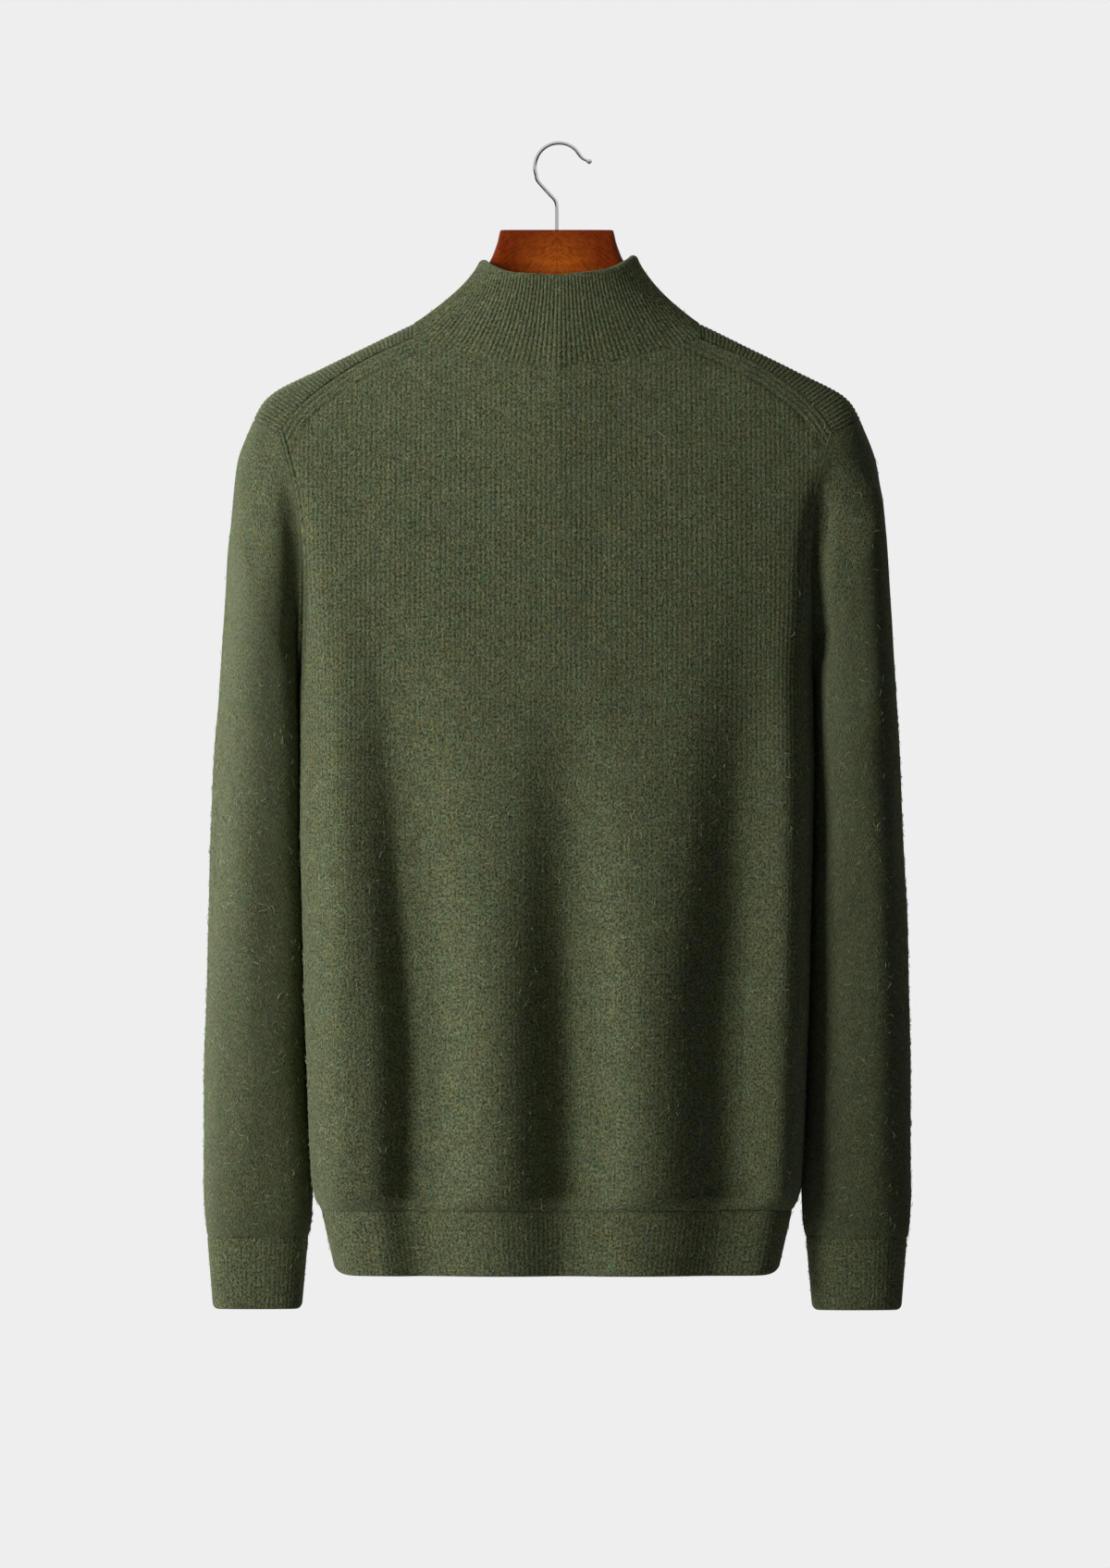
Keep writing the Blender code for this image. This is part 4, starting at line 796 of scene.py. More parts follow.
def buildFront():
    knit, rib = bodyKnit, armholeRib
    halfRibs, neckRibs, stripRibs = knit["halfRibs"], knit["neckRibs"], knit["stripRibs"]
    stripColumns = np.linspace(0, 1, stripRibs * ribShape["coarseStep"] + 1)[1:]
    left = np.concatenate([ribColumns(0, neckRibs), neckRibs + (halfRibs - neckRibs) * stripColumns])
    gap = bodyForm["zipHalfGap"]
    half = lowerRows(left, gap)
    counts = [left] * len(half)
    ridgeAcross = np.linspace(seams["frontNeck"][-1][0], seams["ridgeEnd"][0], 200)
    ridge = np.stack([ridgeAcross, ridgeHeight(ridgeAcross)], axis=1)
    yoke = HalfYoke(seams["frontNeck"], ridge, seams["frontArmhole"], left, gap)
    rowCount = knit["frontRows"]
    shares = 1 - (1 - np.arange(1, rowCount + 1) / rowCount) ** 1.5
    yokePoints, yokeCounts = yoke.rows(shares)
    # the last rows settle into even ribs along the shoulder
    onStrip = left > neckRibs - 1e-6
    stripPlaces = np.concatenate([[0], stripColumns])
    stripCount = neckRibs + stripPlaces * stripRibs
    topRow = yokePoints[-1].copy()
    topRow[onStrip] = readAlong(ridge, ridge, stripPlaces * lengthsAlong(ridge)[-1])
    move = topRow - yokePoints[-1]
    for spot, share in enumerate(shares):
        settle = float(ramp(share, knit["evenFrom"], 1))
        yokePoints[spot] = yokePoints[spot] + move * settle
        yokeCounts[spot][onStrip] += (stripCount - yokeCounts[spot][onStrip]) * settle
    half += yokePoints
    counts += yokeCounts
    ridgeRow = len(half) - 1
    behind = denseCurve(seams["backShoulder"])
    backTop = topRow.copy()
    backTop[onStrip] = readAlong(behind, behind, stripPlaces * lengthsAlong(behind)[-1])
    stripShares = np.array([0.12, 0.24, 0.36, 0.48, 0.6, 0.72, 0.82, 0.9, 0.96, 1.0])
    strip = [topRow + (backTop - topRow) * share for share in stripShares]
    middle = np.arange(1, 10) / 10.0
    flatFront = bothHalves(half, middle)
    flatBehind = bothHalves(strip, middle)
    counts = bothCounts(counts + [counts[-1]] * len(strip), middle)
    base = np.concatenate([liftToBody(flatFront, -1), liftToBody(flatBehind, 1)])
    flat = np.concatenate([flatFront, flatBehind])
    normals = gridNormals(base, False)
    step = ribShape["coarseStep"]
    halfCells = (len(left) - 1) // step
    kept = np.ones(((len(base) - 1) // step, (flat.shape[1] - 1) // step), bool)
    slitRow = int(round(np.argmin(np.abs(flatFront[:, halfCells * step, 1] - bodyForm["slitEnd"])) / step))
    kept[slitRow:, halfCells : halfCells + 2] = False
    kept[ridgeRow // step :, halfCells - neckRibs : halfCells + 2 + neckRibs] = False
    oneSided = gridNormals(base[: ridgeRow + 1], False)
    neckColumns = slice((halfCells - neckRibs) * step + 1, (halfCells + 2 + neckRibs) * step)
    normals[ridgeRow, neckColumns] = oneSided[ridgeRow, neckColumns]
    toSide = lengthsToSide(base)
    fromHem = lengthsOfColumns(base)
    groove = grooveDepth(counts)
    fade = ribFade(base)
    fade[ridgeRow - 4 :] = knit["shoulderGroove"]
    push = -groove * fade
    toTop = fromHem[-1] - fromHem
    toNeck = np.abs(fromHem[ridgeRow] - fromHem)
    isNeck = np.zeros(flat.shape[1], bool)
    isNeck[neckColumns] = True
    seamShare = seamWeight(flat[..., 0])
    push += seamDip(toSide) * seamShare + seamDip(fromHem) * 0.5
    push += np.where(isNeck, seamDip(toNeck), 0.5 * seamDip(toTop)) + unevenness(flat, (17, 50), 5)
    # painted shade: darker rib grooves, and a line along the shoulder strip's seam with the back
    paintedShade = groove * fade / knit["grooveDepthHigh"]
    paintedShade += np.where(isNeck, 0, rib["paintedLineShade"] * bell(toTop, knit["seamLineWidth"]))
    marks = clothMarks(base, counts, np.clip(paintedShade, 0, 2))
    return shellFrom("front_panel", base, normals, push, bodyForm["wall"], kept, False, 1, marks, ribbedKnit)


backPanel = buildBack()
frontPanel = buildFront()
print("body panels built")


sleeveSections = {
    "height": (-0.199, -0.232, -0.27, -0.338, -0.385, -0.43, -0.471, -0.58, -0.686, -0.752, -0.779, -0.791),
    "inner": (0.19, 0.187, 0.186, 0.1864, 0.1859, 0.1857, 0.1853, 0.1831, 0.18, 0.1772, 0.1782, 0.1805),
    "outer": (0.2198, 0.2325, 0.2368, 0.242, 0.2455, 0.2482, 0.2502, 0.2545, 0.2568, 0.2568, 0.2553, 0.254),
    "centreDepth": (0.0, -0.002, -0.005, -0.008, -0.011, -0.015, -0.018, -0.023, -0.025, -0.026, -0.026, -0.026),
    "halfDepth": (0.046, 0.054, 0.057, 0.058, 0.058, 0.057, 0.055, 0.051, 0.046, 0.041, 0.037, 0.034),
    "leftPower": (2.6, 2.6, 2.6, 2.7, 2.7, 2.7, 2.7, 2.7, 2.7, 2.7, 2.7, 2.7),
    "leftLean": (0.003, 0.005, 0.007, 0.009, 0.009, 0.009, 0.008, 0.007, 0.005, 0.002, 0.0, 0.0),
    "rightPower": (2.6, 3.0, 3.2, 2.8, 2.5, 2.3, 2.2, 2.2, 2.2, 2.2, 2.3, 2.4),
    "rightLean": (0.0, -0.001, -0.001, -0.002, -0.002, -0.002, -0.002, -0.001, 0.0, 0.0, 0.0, 0.0),
}
sleeveForm = {
    "swing": {1: -0.01, -1: 0.014},  # how far each sleeve hangs behind the solid's depth, from its elbow down
    "swingFrom": -0.3,
    "swingFull": -0.44,
    "cuffSeam": -0.791,
    "settleLow": 0.022,
    "settleHigh": {1: 0.1, -1: 0.055},
    "closeness": 1.1,
    "places": 24,       # counted round the armhole, up the back, over the shoulder and down the front
    "backEnd": 10,
    "frontStart": 12,
    "columnsPerPlace": 6,
    "rows": 130,
    "wales": 130,
    "unevenness": 0.001,
    "unevennessSize": 0.035,
    "girth": 0.3,
    "creaseSlant": 4,   # places round for each metre of height
    "rightCreaseShift": 0.7,
    "sinkFrom": 0.012,
    "evenTop": 0.03,
    # strength of the shade painted along the armhole's seam, and the heights below which it is gone and above which it
    # is full
    "paintedSeamShade": 0.6,
    "paintedSeamShadeFrom": -0.3,
    "paintedSeamShadeFull": -0.26,
}
# place round the sleeve, height of the middle, half length, half width in places, depth
sleeveCreases = (
    (4.5, -0.55, 0.22, 1.6, -0.0016),
    (7.2, -0.62, 0.17, 1.2, 0.0014),
    (9.4, -0.5, 0.16, 1.3, -0.0014),
    (15.5, -0.6, 0.2, 1.7, -0.0017),
    (19.0, -0.52, 0.18, 1.4, 0.0013),
)


def armholePoints(places, half):
    # points round the armhole from the underarm up the back, over the shoulder and down the front
    form = sleeveForm
    backEnd, frontStart, end = form["backEnd"], form["frontStart"], form["places"]
    places = np.asarray(places, float) % end
    onBack = curveAtShares(seams["backArmhole"], np.clip(places / backEnd, 0, 1))
    corner = np.array(seams["backShoulder"][-1])
    share = np.interp(places, (backEnd, backEnd + 1, frontStart), (1.0, 0.4, 0.0))[:, None]
    overShoulder = np.array(seams["ridgeEnd"]) + (corner - seams["ridgeEnd"]) * share
    frontShare = 1 - (1 - np.clip((end - places) / (end - frontStart), 0, 1)) ** 1.5
    onFront = curveAtShares(seams["frontArmhole"], frontShare)
    behind = np.where((places <= backEnd)[:, None], onBack, overShoulder)
    onSides = liftToBody(behind, 1, False), liftToBody(onFront, -1, False)
    return np.where((places <= frontStart)[:, None], *onSides) * (half, 1, 1)


def roundedReach(cosine, sine, power):
    # how far a rounded box of half size 1 reaches in each direction
    return (np.abs(cosine) ** power + np.abs(sine) ** power) ** (-1 / power)


def sleeveRing(height, turn, half):
    def read(name):
        return smoothCurve(sleeveSections["height"], sleeveSections[name], height)

    power = read("leftPower" if half > 0 else "rightPower")
    cosine, sine = np.cos(turn), np.sin(turn)
    reach = roundedReach(cosine, sine, power)
    centre, halfWidth = (read("outer") + read("inner")) / 2, (read("outer") - read("inner")) / 2
    # the tube's back leans towards the body on the left and away from it on the right
    lean = read("leftLean" if half > 0 else "rightLean")
    dual = power / (power - 1)
    narrowed = (halfWidth**dual - np.abs(lean) ** dual) ** (1 / dual)
    across = half * (centre - narrowed * cosine * reach - lean * sine * reach)
    swung = ramp(height, sleeveForm["swingFrom"], sleeveForm["swingFull"])
    depth = read("centreDepth") + sleeveForm["swing"][half] * swung
    return np.stack([across, depth + read("halfDepth") * sine * reach, height], axis=1)


def buildSleeve(name, half, seed):
    form = sleeveForm
    around = form["places"]
    count = around * form["columnsPerPlace"]
    count += (-count) % ribShape["coarseStep"]
    places = np.arange(count) * around / count
    turn = 2 * math.pi * places / around
    start = armholePoints(places, half)
    top = start[:, 2]
    miss = start - sleeveRing(top, turn, half)
    rise = (top - top.min()) / (top.max() - top.min())
    settle = form["settleLow"] + (form["settleHigh"][half] - form["settleLow"]) * rise
    shares = np.concatenate([[0, 0.0012, 0.0026, 0.0045, 0.007], np.linspace(0.01, 0.99, form["rows"] - 9),
                             [0.9945, 0.997, 0.999, 1.0]])
    rows = [start]
    for share in shares[1:]:
        height = top + (form["cuffSeam"] - top) * share ** form["closeness"]
        settled = smoothStep((top - height) / settle)[:, None]
        rows.append(sleeveRing(height, turn, half) + miss * (1 - settled))
    base = np.array(rows)
    across, depth, height = base.transpose(2, 0, 1)
    sunk = np.where(depth > 0, valleyDepth(across, height, 1), -valleyDepth(across, height, -1))
    base[..., 1] -= sunk * smoothStep(np.abs(depth) / form["sinkFrom"])
    surplus = (len(base) - 1) % ribShape["coarseStep"]
    base = np.delete(base, bodyKnit["thinFrom"] + np.arange(surplus), axis=0)
    normals = gridNormals(base, True) * half
    push = np.zeros(base.shape[:2])
    for place, height, halfLength, halfWidth, depth in sleeveCreases:
        if half < 0:
            place = place + form["rightCreaseShift"]
        above = base[..., 2] - height
        away = (places - place - above * form["creaseSlant"] + around / 2) % around - around / 2
        push += depth * np.exp(-((above / halfLength) ** 2) * 2) * bell(away, halfWidth)
    fromTop = lengthsOfColumns(base)
    seamShare = seamWeight(half)
    push += seamDip(fromTop) * seamShare + 0.5 * seamDip(fromTop[-1] - fromTop)
    size = form["unevennessSize"]
    bumps = round(form["girth"] / size)
    noise = softNoise(places / around * bumps % bumps, base[..., 2] / (1.6 * size) + 40, seed)
    blend = np.minimum(1, np.minimum(places, around - places) / 2)
    push += form["unevenness"] * noise * blend * smoothStep(fromTop / form["evenTop"])
    # painted shade along the armhole's seam line, only in its upper part
    paintedShade = form["paintedSeamShade"] * seamShare
    groove = bell(fromTop, bodyKnit["seamLineWidth"]) * paintedShade
    groove = groove * ramp(base[..., 2], form["paintedSeamShadeFrom"], form["paintedSeamShadeFull"])
    marks = clothMarks(base, places / around * form["wales"], groove)
    return shellFrom(name, base, normals, push, bodyForm["wall"], None, True, half, marks, plainKnit), base


sleeveLeft, leftSleeveGrid = buildSleeve("sleeve_left_knit", 1, 21)
sleeveRight, rightSleeveGrid = buildSleeve("sleeve_right_knit", -1, 22)
print("sleeves built")


collarForm = {
    "length": 0.07,
    "ribs": 140,
    "wall": 0.0035,
    "flare": 1.4,
    "rimHalfWidth": 0.0574,
    "rimCentreAcross": -0.0012,
    "rimHalfDepth": 0.049,
    "rimCentreDepth": -0.0075,
    "rimPower": 2.6,
    "rimTurn": (0.0, 0.15, 0.3, 0.42, 0.5, 0.58, 0.66, 0.8, 1.0),
    "rimHeight": (-0.1185, -0.115, -0.1035, -0.0905, -0.0838, -0.0818, -0.0852, -0.0921, -0.0952),
    "grooveDepth": 0.0008,
    "grooveAtRim": 0.25,
    "rimFade": (0.0005, 0.0045),
    # strength of the shade painted into the grooves
    "paintedGrooveShade": 1.1,
    "roundRadius": 0.0021,
    "slitRadius": 0.0012,
    "lean": 0.0017,
    "seamBead": (0.0003, 0.0022, 0.0009),    # rise, distance from the seam, width
    "unevenness": 0.0005,
    # strength and width of the shade painted along the seam line
    "paintedSeamShade": 0.2,
    "seamWidth": 0.001,
}
# the shade values here set painted shade in the rib grooves and along the seam line
bandKnit = {"paintedGrooveShade": 0.4, "paintedSeamShade": 0.35, "seamWidth": 0.0012, "grooveFrom": 0.003}
hemForm = {"length": 0.047, "ribs": 220, "wall": 0.0032, "edge": -0.818, "widthShare": 0.9445,
           "depthShare": 0.92, "sideLift": 0.0055, "liftPower": 45, "grooveDepth": 0.00022, "roundRadius": 0.0016}
cuffForm = {"length": 0.053, "ribs": 64, "wall": 0.0032, "edge": -0.844, "lowInner": 0.185, "lowOuter": 0.25,
            "lowHalfDepth": 0.025, "cornerLift": 0.0026, "cornerPower": 36, "grooveDepth": 0.00022,
            "roundRadius": 0.0016}


def rowShares(length, rounding, cells):
    # shares of rows from a seam to a free edge, close together at both
    start = np.array([0, 0.0006, 0.0013, 0.0022])
    end = length - rounding * np.array([1.0, 0.62, 0.34, 0.14, 0.04, 0.0])
    middle = np.linspace(start[-1], end[0], cells + 1)[1:-1]
    return np.concatenate([start, middle, end]) / length


def roundedEdge(distance, radius):
    # how far the wall's outside draws in at a distance from its free edge
    left = np.clip(radius - distance, 0, radius)
    return -(radius - np.sqrt(np.clip(radius**2 - left**2, 0, None)))


def fitRows(shares):
    while (len(shares) - 1) % ribShape["coarseStep"]:
        gaps = np.diff(shares)
        widest = int(np.argmax(gaps))
        shares = np.insert(shares, widest + 1, shares[widest] + gaps[widest] / 2)
    return shares


def buildCollar():
    form = collarForm
    share = np.linspace(0, 1, 80)
    front = liftToBody(curveAtShares(seams["frontNeck"], share), -1)
    ends = np.array([seams["frontNeck"][-1], seams["backShoulder"][0]])
    over = liftToBody(ends[0] + (ends[1] - ends[0]) * np.linspace(0, 1, 12)[1:, None], 1)
    back = liftToBody(curveAtShares(seams["backNeck"], share[::-1])[1:], 1)
    left = np.vstack([front, over, back])
    loop = np.vstack([left, left[::-1][1:] * (-1, 1, 1)])
    columns = ribColumns(0, form["ribs"])
    total = lengthsAlong(loop)[-1]
    places = columns / form["ribs"]
    seam = readAlong(loop, loop, places * total)

    turn = np.linspace(0, 2 * math.pi, 4001)
    power = 2 / form["rimPower"]
    sine, cosine = np.sin(turn), np.cos(turn)
    x = form["rimCentreAcross"] + form["rimHalfWidth"] * np.sign(sine) * np.abs(sine) ** power
    y = form["rimCentreDepth"] - form["rimHalfDepth"] * np.sign(cosine) * np.abs(cosine) ** power
    plan = np.stack([x, y], axis=1)
    length = lengthsAlong(plan)[-1]
    gap = bodyForm["zipHalfGap"]
    level = readAlong(plan, plan, gap + places * (length - 2 * gap))
    height = smoothCurve(form["rimTurn"], form["rimHeight"], 1 - np.abs(2 * places - 1))
    height = height - form["lean"] * level[:, 0] / form["rimHalfWidth"]
    rim = np.column_stack([level, height])

    shares = fitRows(rowShares(form["length"], form["roundRadius"], 16))
    rows = []
    for t in shares:
        inward = 1 - (1 - t) ** form["flare"]
        flatPart = seam[:, :2] + (rim[:, :2] - seam[:, :2]) * inward
        rows.append(np.column_stack([flatPart, seam[:, 2] + (rim[:, 2] - seam[:, 2]) * t]))
    base = np.array(rows)
    normals = gridNormals(base, False)
    distance = lengthsOfColumns(base)
    toRim = distance[-1] - distance
    groove = grooveDepth(columns)
    fade = ramp(toRim, *form["rimFade"]) * (1 - form["grooveAtRim"]) + form["grooveAtRim"]
    push = -groove * form["grooveDepth"] * fade * smoothStep(distance / 0.0016)
    push += 0.5 * seamDip(distance) + roundedEdge(toRim, form["roundRadius"])
    rise, beadPlace, beadWidth = form["seamBead"]
    push += rise * bell(distance - beadPlace, beadWidth)
    push += form["unevenness"] * softNoise(columns / 9, distance / 0.03 + 3, 8)
    slitAway = np.minimum(columns, form["ribs"] - columns) * total / form["ribs"]
    push += roundedEdge(slitAway, form["slitRadius"])
    # painted shade in the rib grooves and along the seam line at the collar's base
    paintedSeamLine = bell(distance, form["seamWidth"]) * form["paintedSeamShade"]
    marks = clothMarks(base, columns, np.clip(groove * fade * form["paintedGrooveShade"] + paintedSeamLine, 0, 1))
    return shellFrom("collar_knit", base, normals, push, form["wall"], None, False, 1, marks, ribbedKnit)


def buildBand(name, loop, lower, form, outward):
    # a ribbed tube from a closed loop of points down to its free edge
    columns = ribColumns(0, form["ribs"])[:-1]
    closed = np.vstack([loop, loop[:1]])
    total = lengthsAlong(closed)[-1]
    top = readAlong(closed, closed, columns / form["ribs"] * total)
    low = lower(top)
    shares = fitRows(rowShares(form["length"], form["roundRadius"], 9))
    base = np.array([top + (low - top) * t for t in shares])
    normals = gridNormals(base, True) * outward
    distance = lengthsOfColumns(base)
    toEdge = distance[-1] - distance
    groove = grooveDepth(columns)
    push = -groove * form["grooveDepth"] * smoothStep(distance / bandKnit["grooveFrom"])
    push += 0.5 * seamDip(distance) + roundedEdge(toEdge, form["roundRadius"])
    # painted shade in the rib grooves and along the seam line
    paintedSeamLine = bell(distance, bandKnit["seamWidth"]) * bandKnit["paintedSeamShade"]
    marks = clothMarks(base, columns, np.clip(groove * bandKnit["paintedGrooveShade"] + paintedSeamLine, 0, 1))
    return shellFrom(name, base, normals, push, form["wall"], None, True, outward, marks, ribbedKnit)


def buildHem():
    seamHeight = bodyForm["hemSeam"]
    halfWidth = float(bodySection("halfWidth", seamHeight))
    shares = waleShare(np.linspace(0, 1, 200)) * halfWidth
    across = np.concatenate([-shares[::-1][:-1], shares])
    line = np.stack([across, np.full(len(across), seamHeight)], axis=1)
    back, front = liftToBody(line, 1), liftToBody(line, -1)
    loop = np.vstack([back, front[::-1][1:-1]])

    def lower(top):
        low = top * (hemForm["widthShare"], hemForm["depthShare"], 1.0)
        side = np.abs(top[:, 0]) / np.abs(top[:, 0]).max()
        low[:, 2] = hemForm["edge"] + hemForm["sideLift"] * side ** hemForm["liftPower"]
        return low

    return buildBand("hem_knit", loop, lower, hemForm, 1)


def buildCuff(name, sleeveBase, half):
    def lower(top):
        across = np.abs(top[:, 0])
        share = (across - across.min()) / (across.max() - across.min())
        across = half * (cuffForm["lowInner"] + share * (cuffForm["lowOuter"] - cuffForm["lowInner"]))
        front, back = top[:, 1].min(), top[:, 1].max()
        middle, reach = (back + front) / 2, (back - front) / 2
        deep = middle + (top[:, 1] - middle) * cuffForm["lowHalfDepth"] / reach
        height = cuffForm["edge"] + cuffForm["cornerLift"] * np.abs(2 * share - 1) ** cuffForm["cornerPower"]
        return np.column_stack([across, deep, height])

    return buildBand(name, sleeveBase[-1], lower, cuffForm, half)


collar = buildCollar()
hem = buildHem()
cuffLeft = buildCuff("cuff_left_knit", leftSleeveGrid, 1)
cuffRight = buildCuff("cuff_right_knit", rightSleeveGrid, -1)
print("collar, hem and cuffs built")


fuzz = {
    "perSquareMetre": 40000,
    "length": (0.003, 0.008),
    "halfWidth": 0.00016,
    "rise": (0.0002, 0.0013),
    "joints": 5,
    "curl": 1.1,
    "bendEach": 0.45,
    "jitter": 0.25,
    "arch": 0.62,
    "rootDepth": 0.0003,
    "tipWidth": 0.3,
}


def fuzzMaterial():
    material, tree, shader = newMaterial("fuzzFibres", {"Roughness": 0.8, "Specular IOR Level": 0.03})
    mark = newNode(tree, "ShaderNodeAttribute", attribute_name="tone")
    colour = mixColours(tree, mark.outputs["Fac"], (0.17, 0.2, 0.1, 1.0), (0.5, 0.56, 0.34, 1.0))
    tree.links.new(colour, shader.inputs["Base Color"])
    return material


fuzzLook = fuzzMaterial()


def buildFuzz(name, gridName, wrap, wanted):
    points, normals = clothGrids[gridName]
    if wrap:
        points = np.concatenate([points, points[:, :1]], axis=1)
        normals = np.concatenate([normals, normals[:, :1]], axis=1)
    across = points[:-1, 1:] - points[:-1, :-1]
    along = points[1:, :-1] - points[:-1, :-1]
    area = np.linalg.norm(np.cross(across, along), axis=2)
    weight = area * wanted(points[:-1, :-1])
    count = int(weight.sum() * fuzz["perSquareMetre"])
    cells = randomDraw.choice(area.size, count, p=(weight / weight.sum()).ravel())
    row, column = np.unravel_index(cells, area.shape)
    start = points[row, column] + across[row, column] * randomDraw.random((count, 1))
    start += along[row, column] * randomDraw.random((count, 1))
    normal = unit(normals[row, column])
    sideways = unit(np.cross(normal, randomDraw.normal(size=(count, 3))))
    other = np.cross(normal, sideways)
    length = randomDraw.uniform(*fuzz["length"], count)
    rise = randomDraw.uniform(*fuzz["rise"], count)
    angle = np.zeros(count)
    bend = randomDraw.normal(0, fuzz["curl"], count)
    joints = fuzz["joints"]
    place = start - fuzz["rootDepth"] * normal
    line = [place]
    for joint in range(joints):
        angle = angle + bend * fuzz["bendEach"] + randomDraw.normal(0, fuzz["jitter"], count)
        way = sideways * np.cos(angle)[:, None] + other * np.sin(angle)[:, None]
        flat = place + way * (length / joints)[:, None]
        before, after = (np.sin(math.pi * spot / joints * fuzz["arch"]) for spot in (joint, joint + 1))
        lift = rise * (after - before)
        place = flat + normal * lift[:, None]
        line.append(place)
    line = np.array(line)
    tangent = unit(np.gradient(line, axis=0))
    tilt = randomDraw.uniform(0, math.pi, count)
    flatWay = sideways * np.cos(tilt)[:, None] + normal * np.sin(tilt)[:, None]
    width = unit(np.cross(tangent, flatWay[None])) * fuzz["halfWidth"]
    taper = np.array([1.0] * joints + [fuzz["tipWidth"]])[:, None, None]
    low, high = line - width * taper, line + width * taper
    both = np.stack([low, high], axis=2).transpose(1, 0, 2, 3)
    spots = np.arange(count * (joints + 1) * 2).reshape(count, joints + 1, 2)
    quads = np.stack([spots[:, :-1, 0], spots[:, :-1, 1], spots[:, 1:, 1], spots[:, 1:, 0]], axis=-1)
    tone = np.repeat(randomDraw.random(count) ** 1.5, (joints + 1) * 2)
    return meshPiece(name, both.reshape(-1, 3).tolist(), quads.reshape(-1, 4).tolist(), fuzzLook,
                     marks=[("tone", tone)])


def moreLowDown(points):
    return 0.2 + 0.8 * smoothStep((-0.34 - points[..., 2]) / 0.16)


def aboveEdge(points):
    return 0.6 * smoothStep((points[..., 2] - points[..., 2].min() - 0.01) / 0.012)


def aFew(points):
    below = np.arange(len(points)) < 0.75 * len(points)
    return 0.3 * below[:, None] * np.ones(points.shape[:2])


def lessOnFront(points):
    return 0.5 * moreLowDown(points) * (points[..., 1] < 0.02)


fuzzPieces = {}
for part, ending, wrap, wanted in (
    ("back", "_panel", False, moreLowDown),
    ("front", "_panel", False, lessOnFront),
    ("sleeve_left", "_knit", True, moreLowDown),
    ("sleeve_right", "_knit", True, moreLowDown),
    ("collar", "_knit", False, aFew),
    ("hem", "_knit", True, aboveEdge),
    ("cuff_left", "_knit", True, aboveEdge),
    ("cuff_right", "_knit", True, aboveEdge),
):
    fuzzPieces[part + ending] = buildFuzz("fuzz_" + part, part + ending, wrap, wanted)
print("fibres built")


woodSections = {
    "across": (0.0, 0.02, 0.038, 0.0408, 0.0428, 0.0478, 0.054, 0.062, 0.073, 0.088, 0.1, 0.112, 0.13, 0.156, 0.18,
               0.196, 0.201),
    "top": (-0.0616, -0.0616, -0.0616, -0.062, -0.07, -0.083, -0.0925, -0.103, -0.1142, -0.127, -0.1364, -0.1398,
            -0.1462, -0.1586, -0.1706, -0.18, -0.186),
    "bottom": (-0.129, -0.1292, -0.13, -0.1303, -0.1306, -0.1315, -0.133, -0.1352, -0.139, -0.1455, -0.152, -0.1575,
               -0.1665, -0.18, -0.192, -0.199, -0.198),
    "halfThickness": (0.008, 0.008, 0.008, 0.008, 0.008, 0.008, 0.008, 0.0079, 0.0078, 0.0074, 0.007, 0.007, 0.0071,
                      0.0071, 0.007, 0.0066, 0.0054),
    "power": (6.0, 6.0, 4.0, 3.2, 3.0, 3.0, 3.0, 3.0, 3.0, 2.8, 2.2, 2.2, 2.2, 2.2, 2.2, 2.2, 2.2),
}
woodFinish = {
    "Roughness": 0.42,
    "Specular IOR Level": 0.1,
    "Coat Weight": 0.02,
    "Coat Roughness": 0.15,
}
woodShades = {
    "dark": (0.13, 0.016, 0.003, 1.0),
    "red": (0.33, 0.048, 0.005, 1.0),
    # painted light: a bright warm colour for the lit patch about the middle
    "glow": (0.74, 0.18, 0.02, 1.0),
    "joint": (0.03, 0.006, 0.003, 1.0),
}
hookForm = {
    "wireRadius": 0.0013,
    "radius": 0.0174,
    "centreAcross": -0.0015,
    "sagitta": 0.00007,
    "foot": (0.0, -0.0813),
    "stem": ((0.0, -0.0616), (0.0, -0.048), (0.0002, -0.0435), (0.0012, -0.0402), (0.0048, -0.0362), (0.0098, -0.0308),
             (0.0139, -0.0258)),
    "arc": (-18, 136),
    "arcPoints": 30,
    "tip": ((-0.0161, -0.0067, 1.0), (-0.0176, -0.0087, 0.96), (-0.0189, -0.0099, 0.88), (-0.0205, -0.0108, 0.8),
            (-0.0219, -0.0114, 0.8), (-0.0227, -0.0118, 1.2), (-0.0237, -0.0121, 1.38), (-0.0247, -0.0124, 1.1),
            (-0.0251, -0.0126, 0.45)),
}


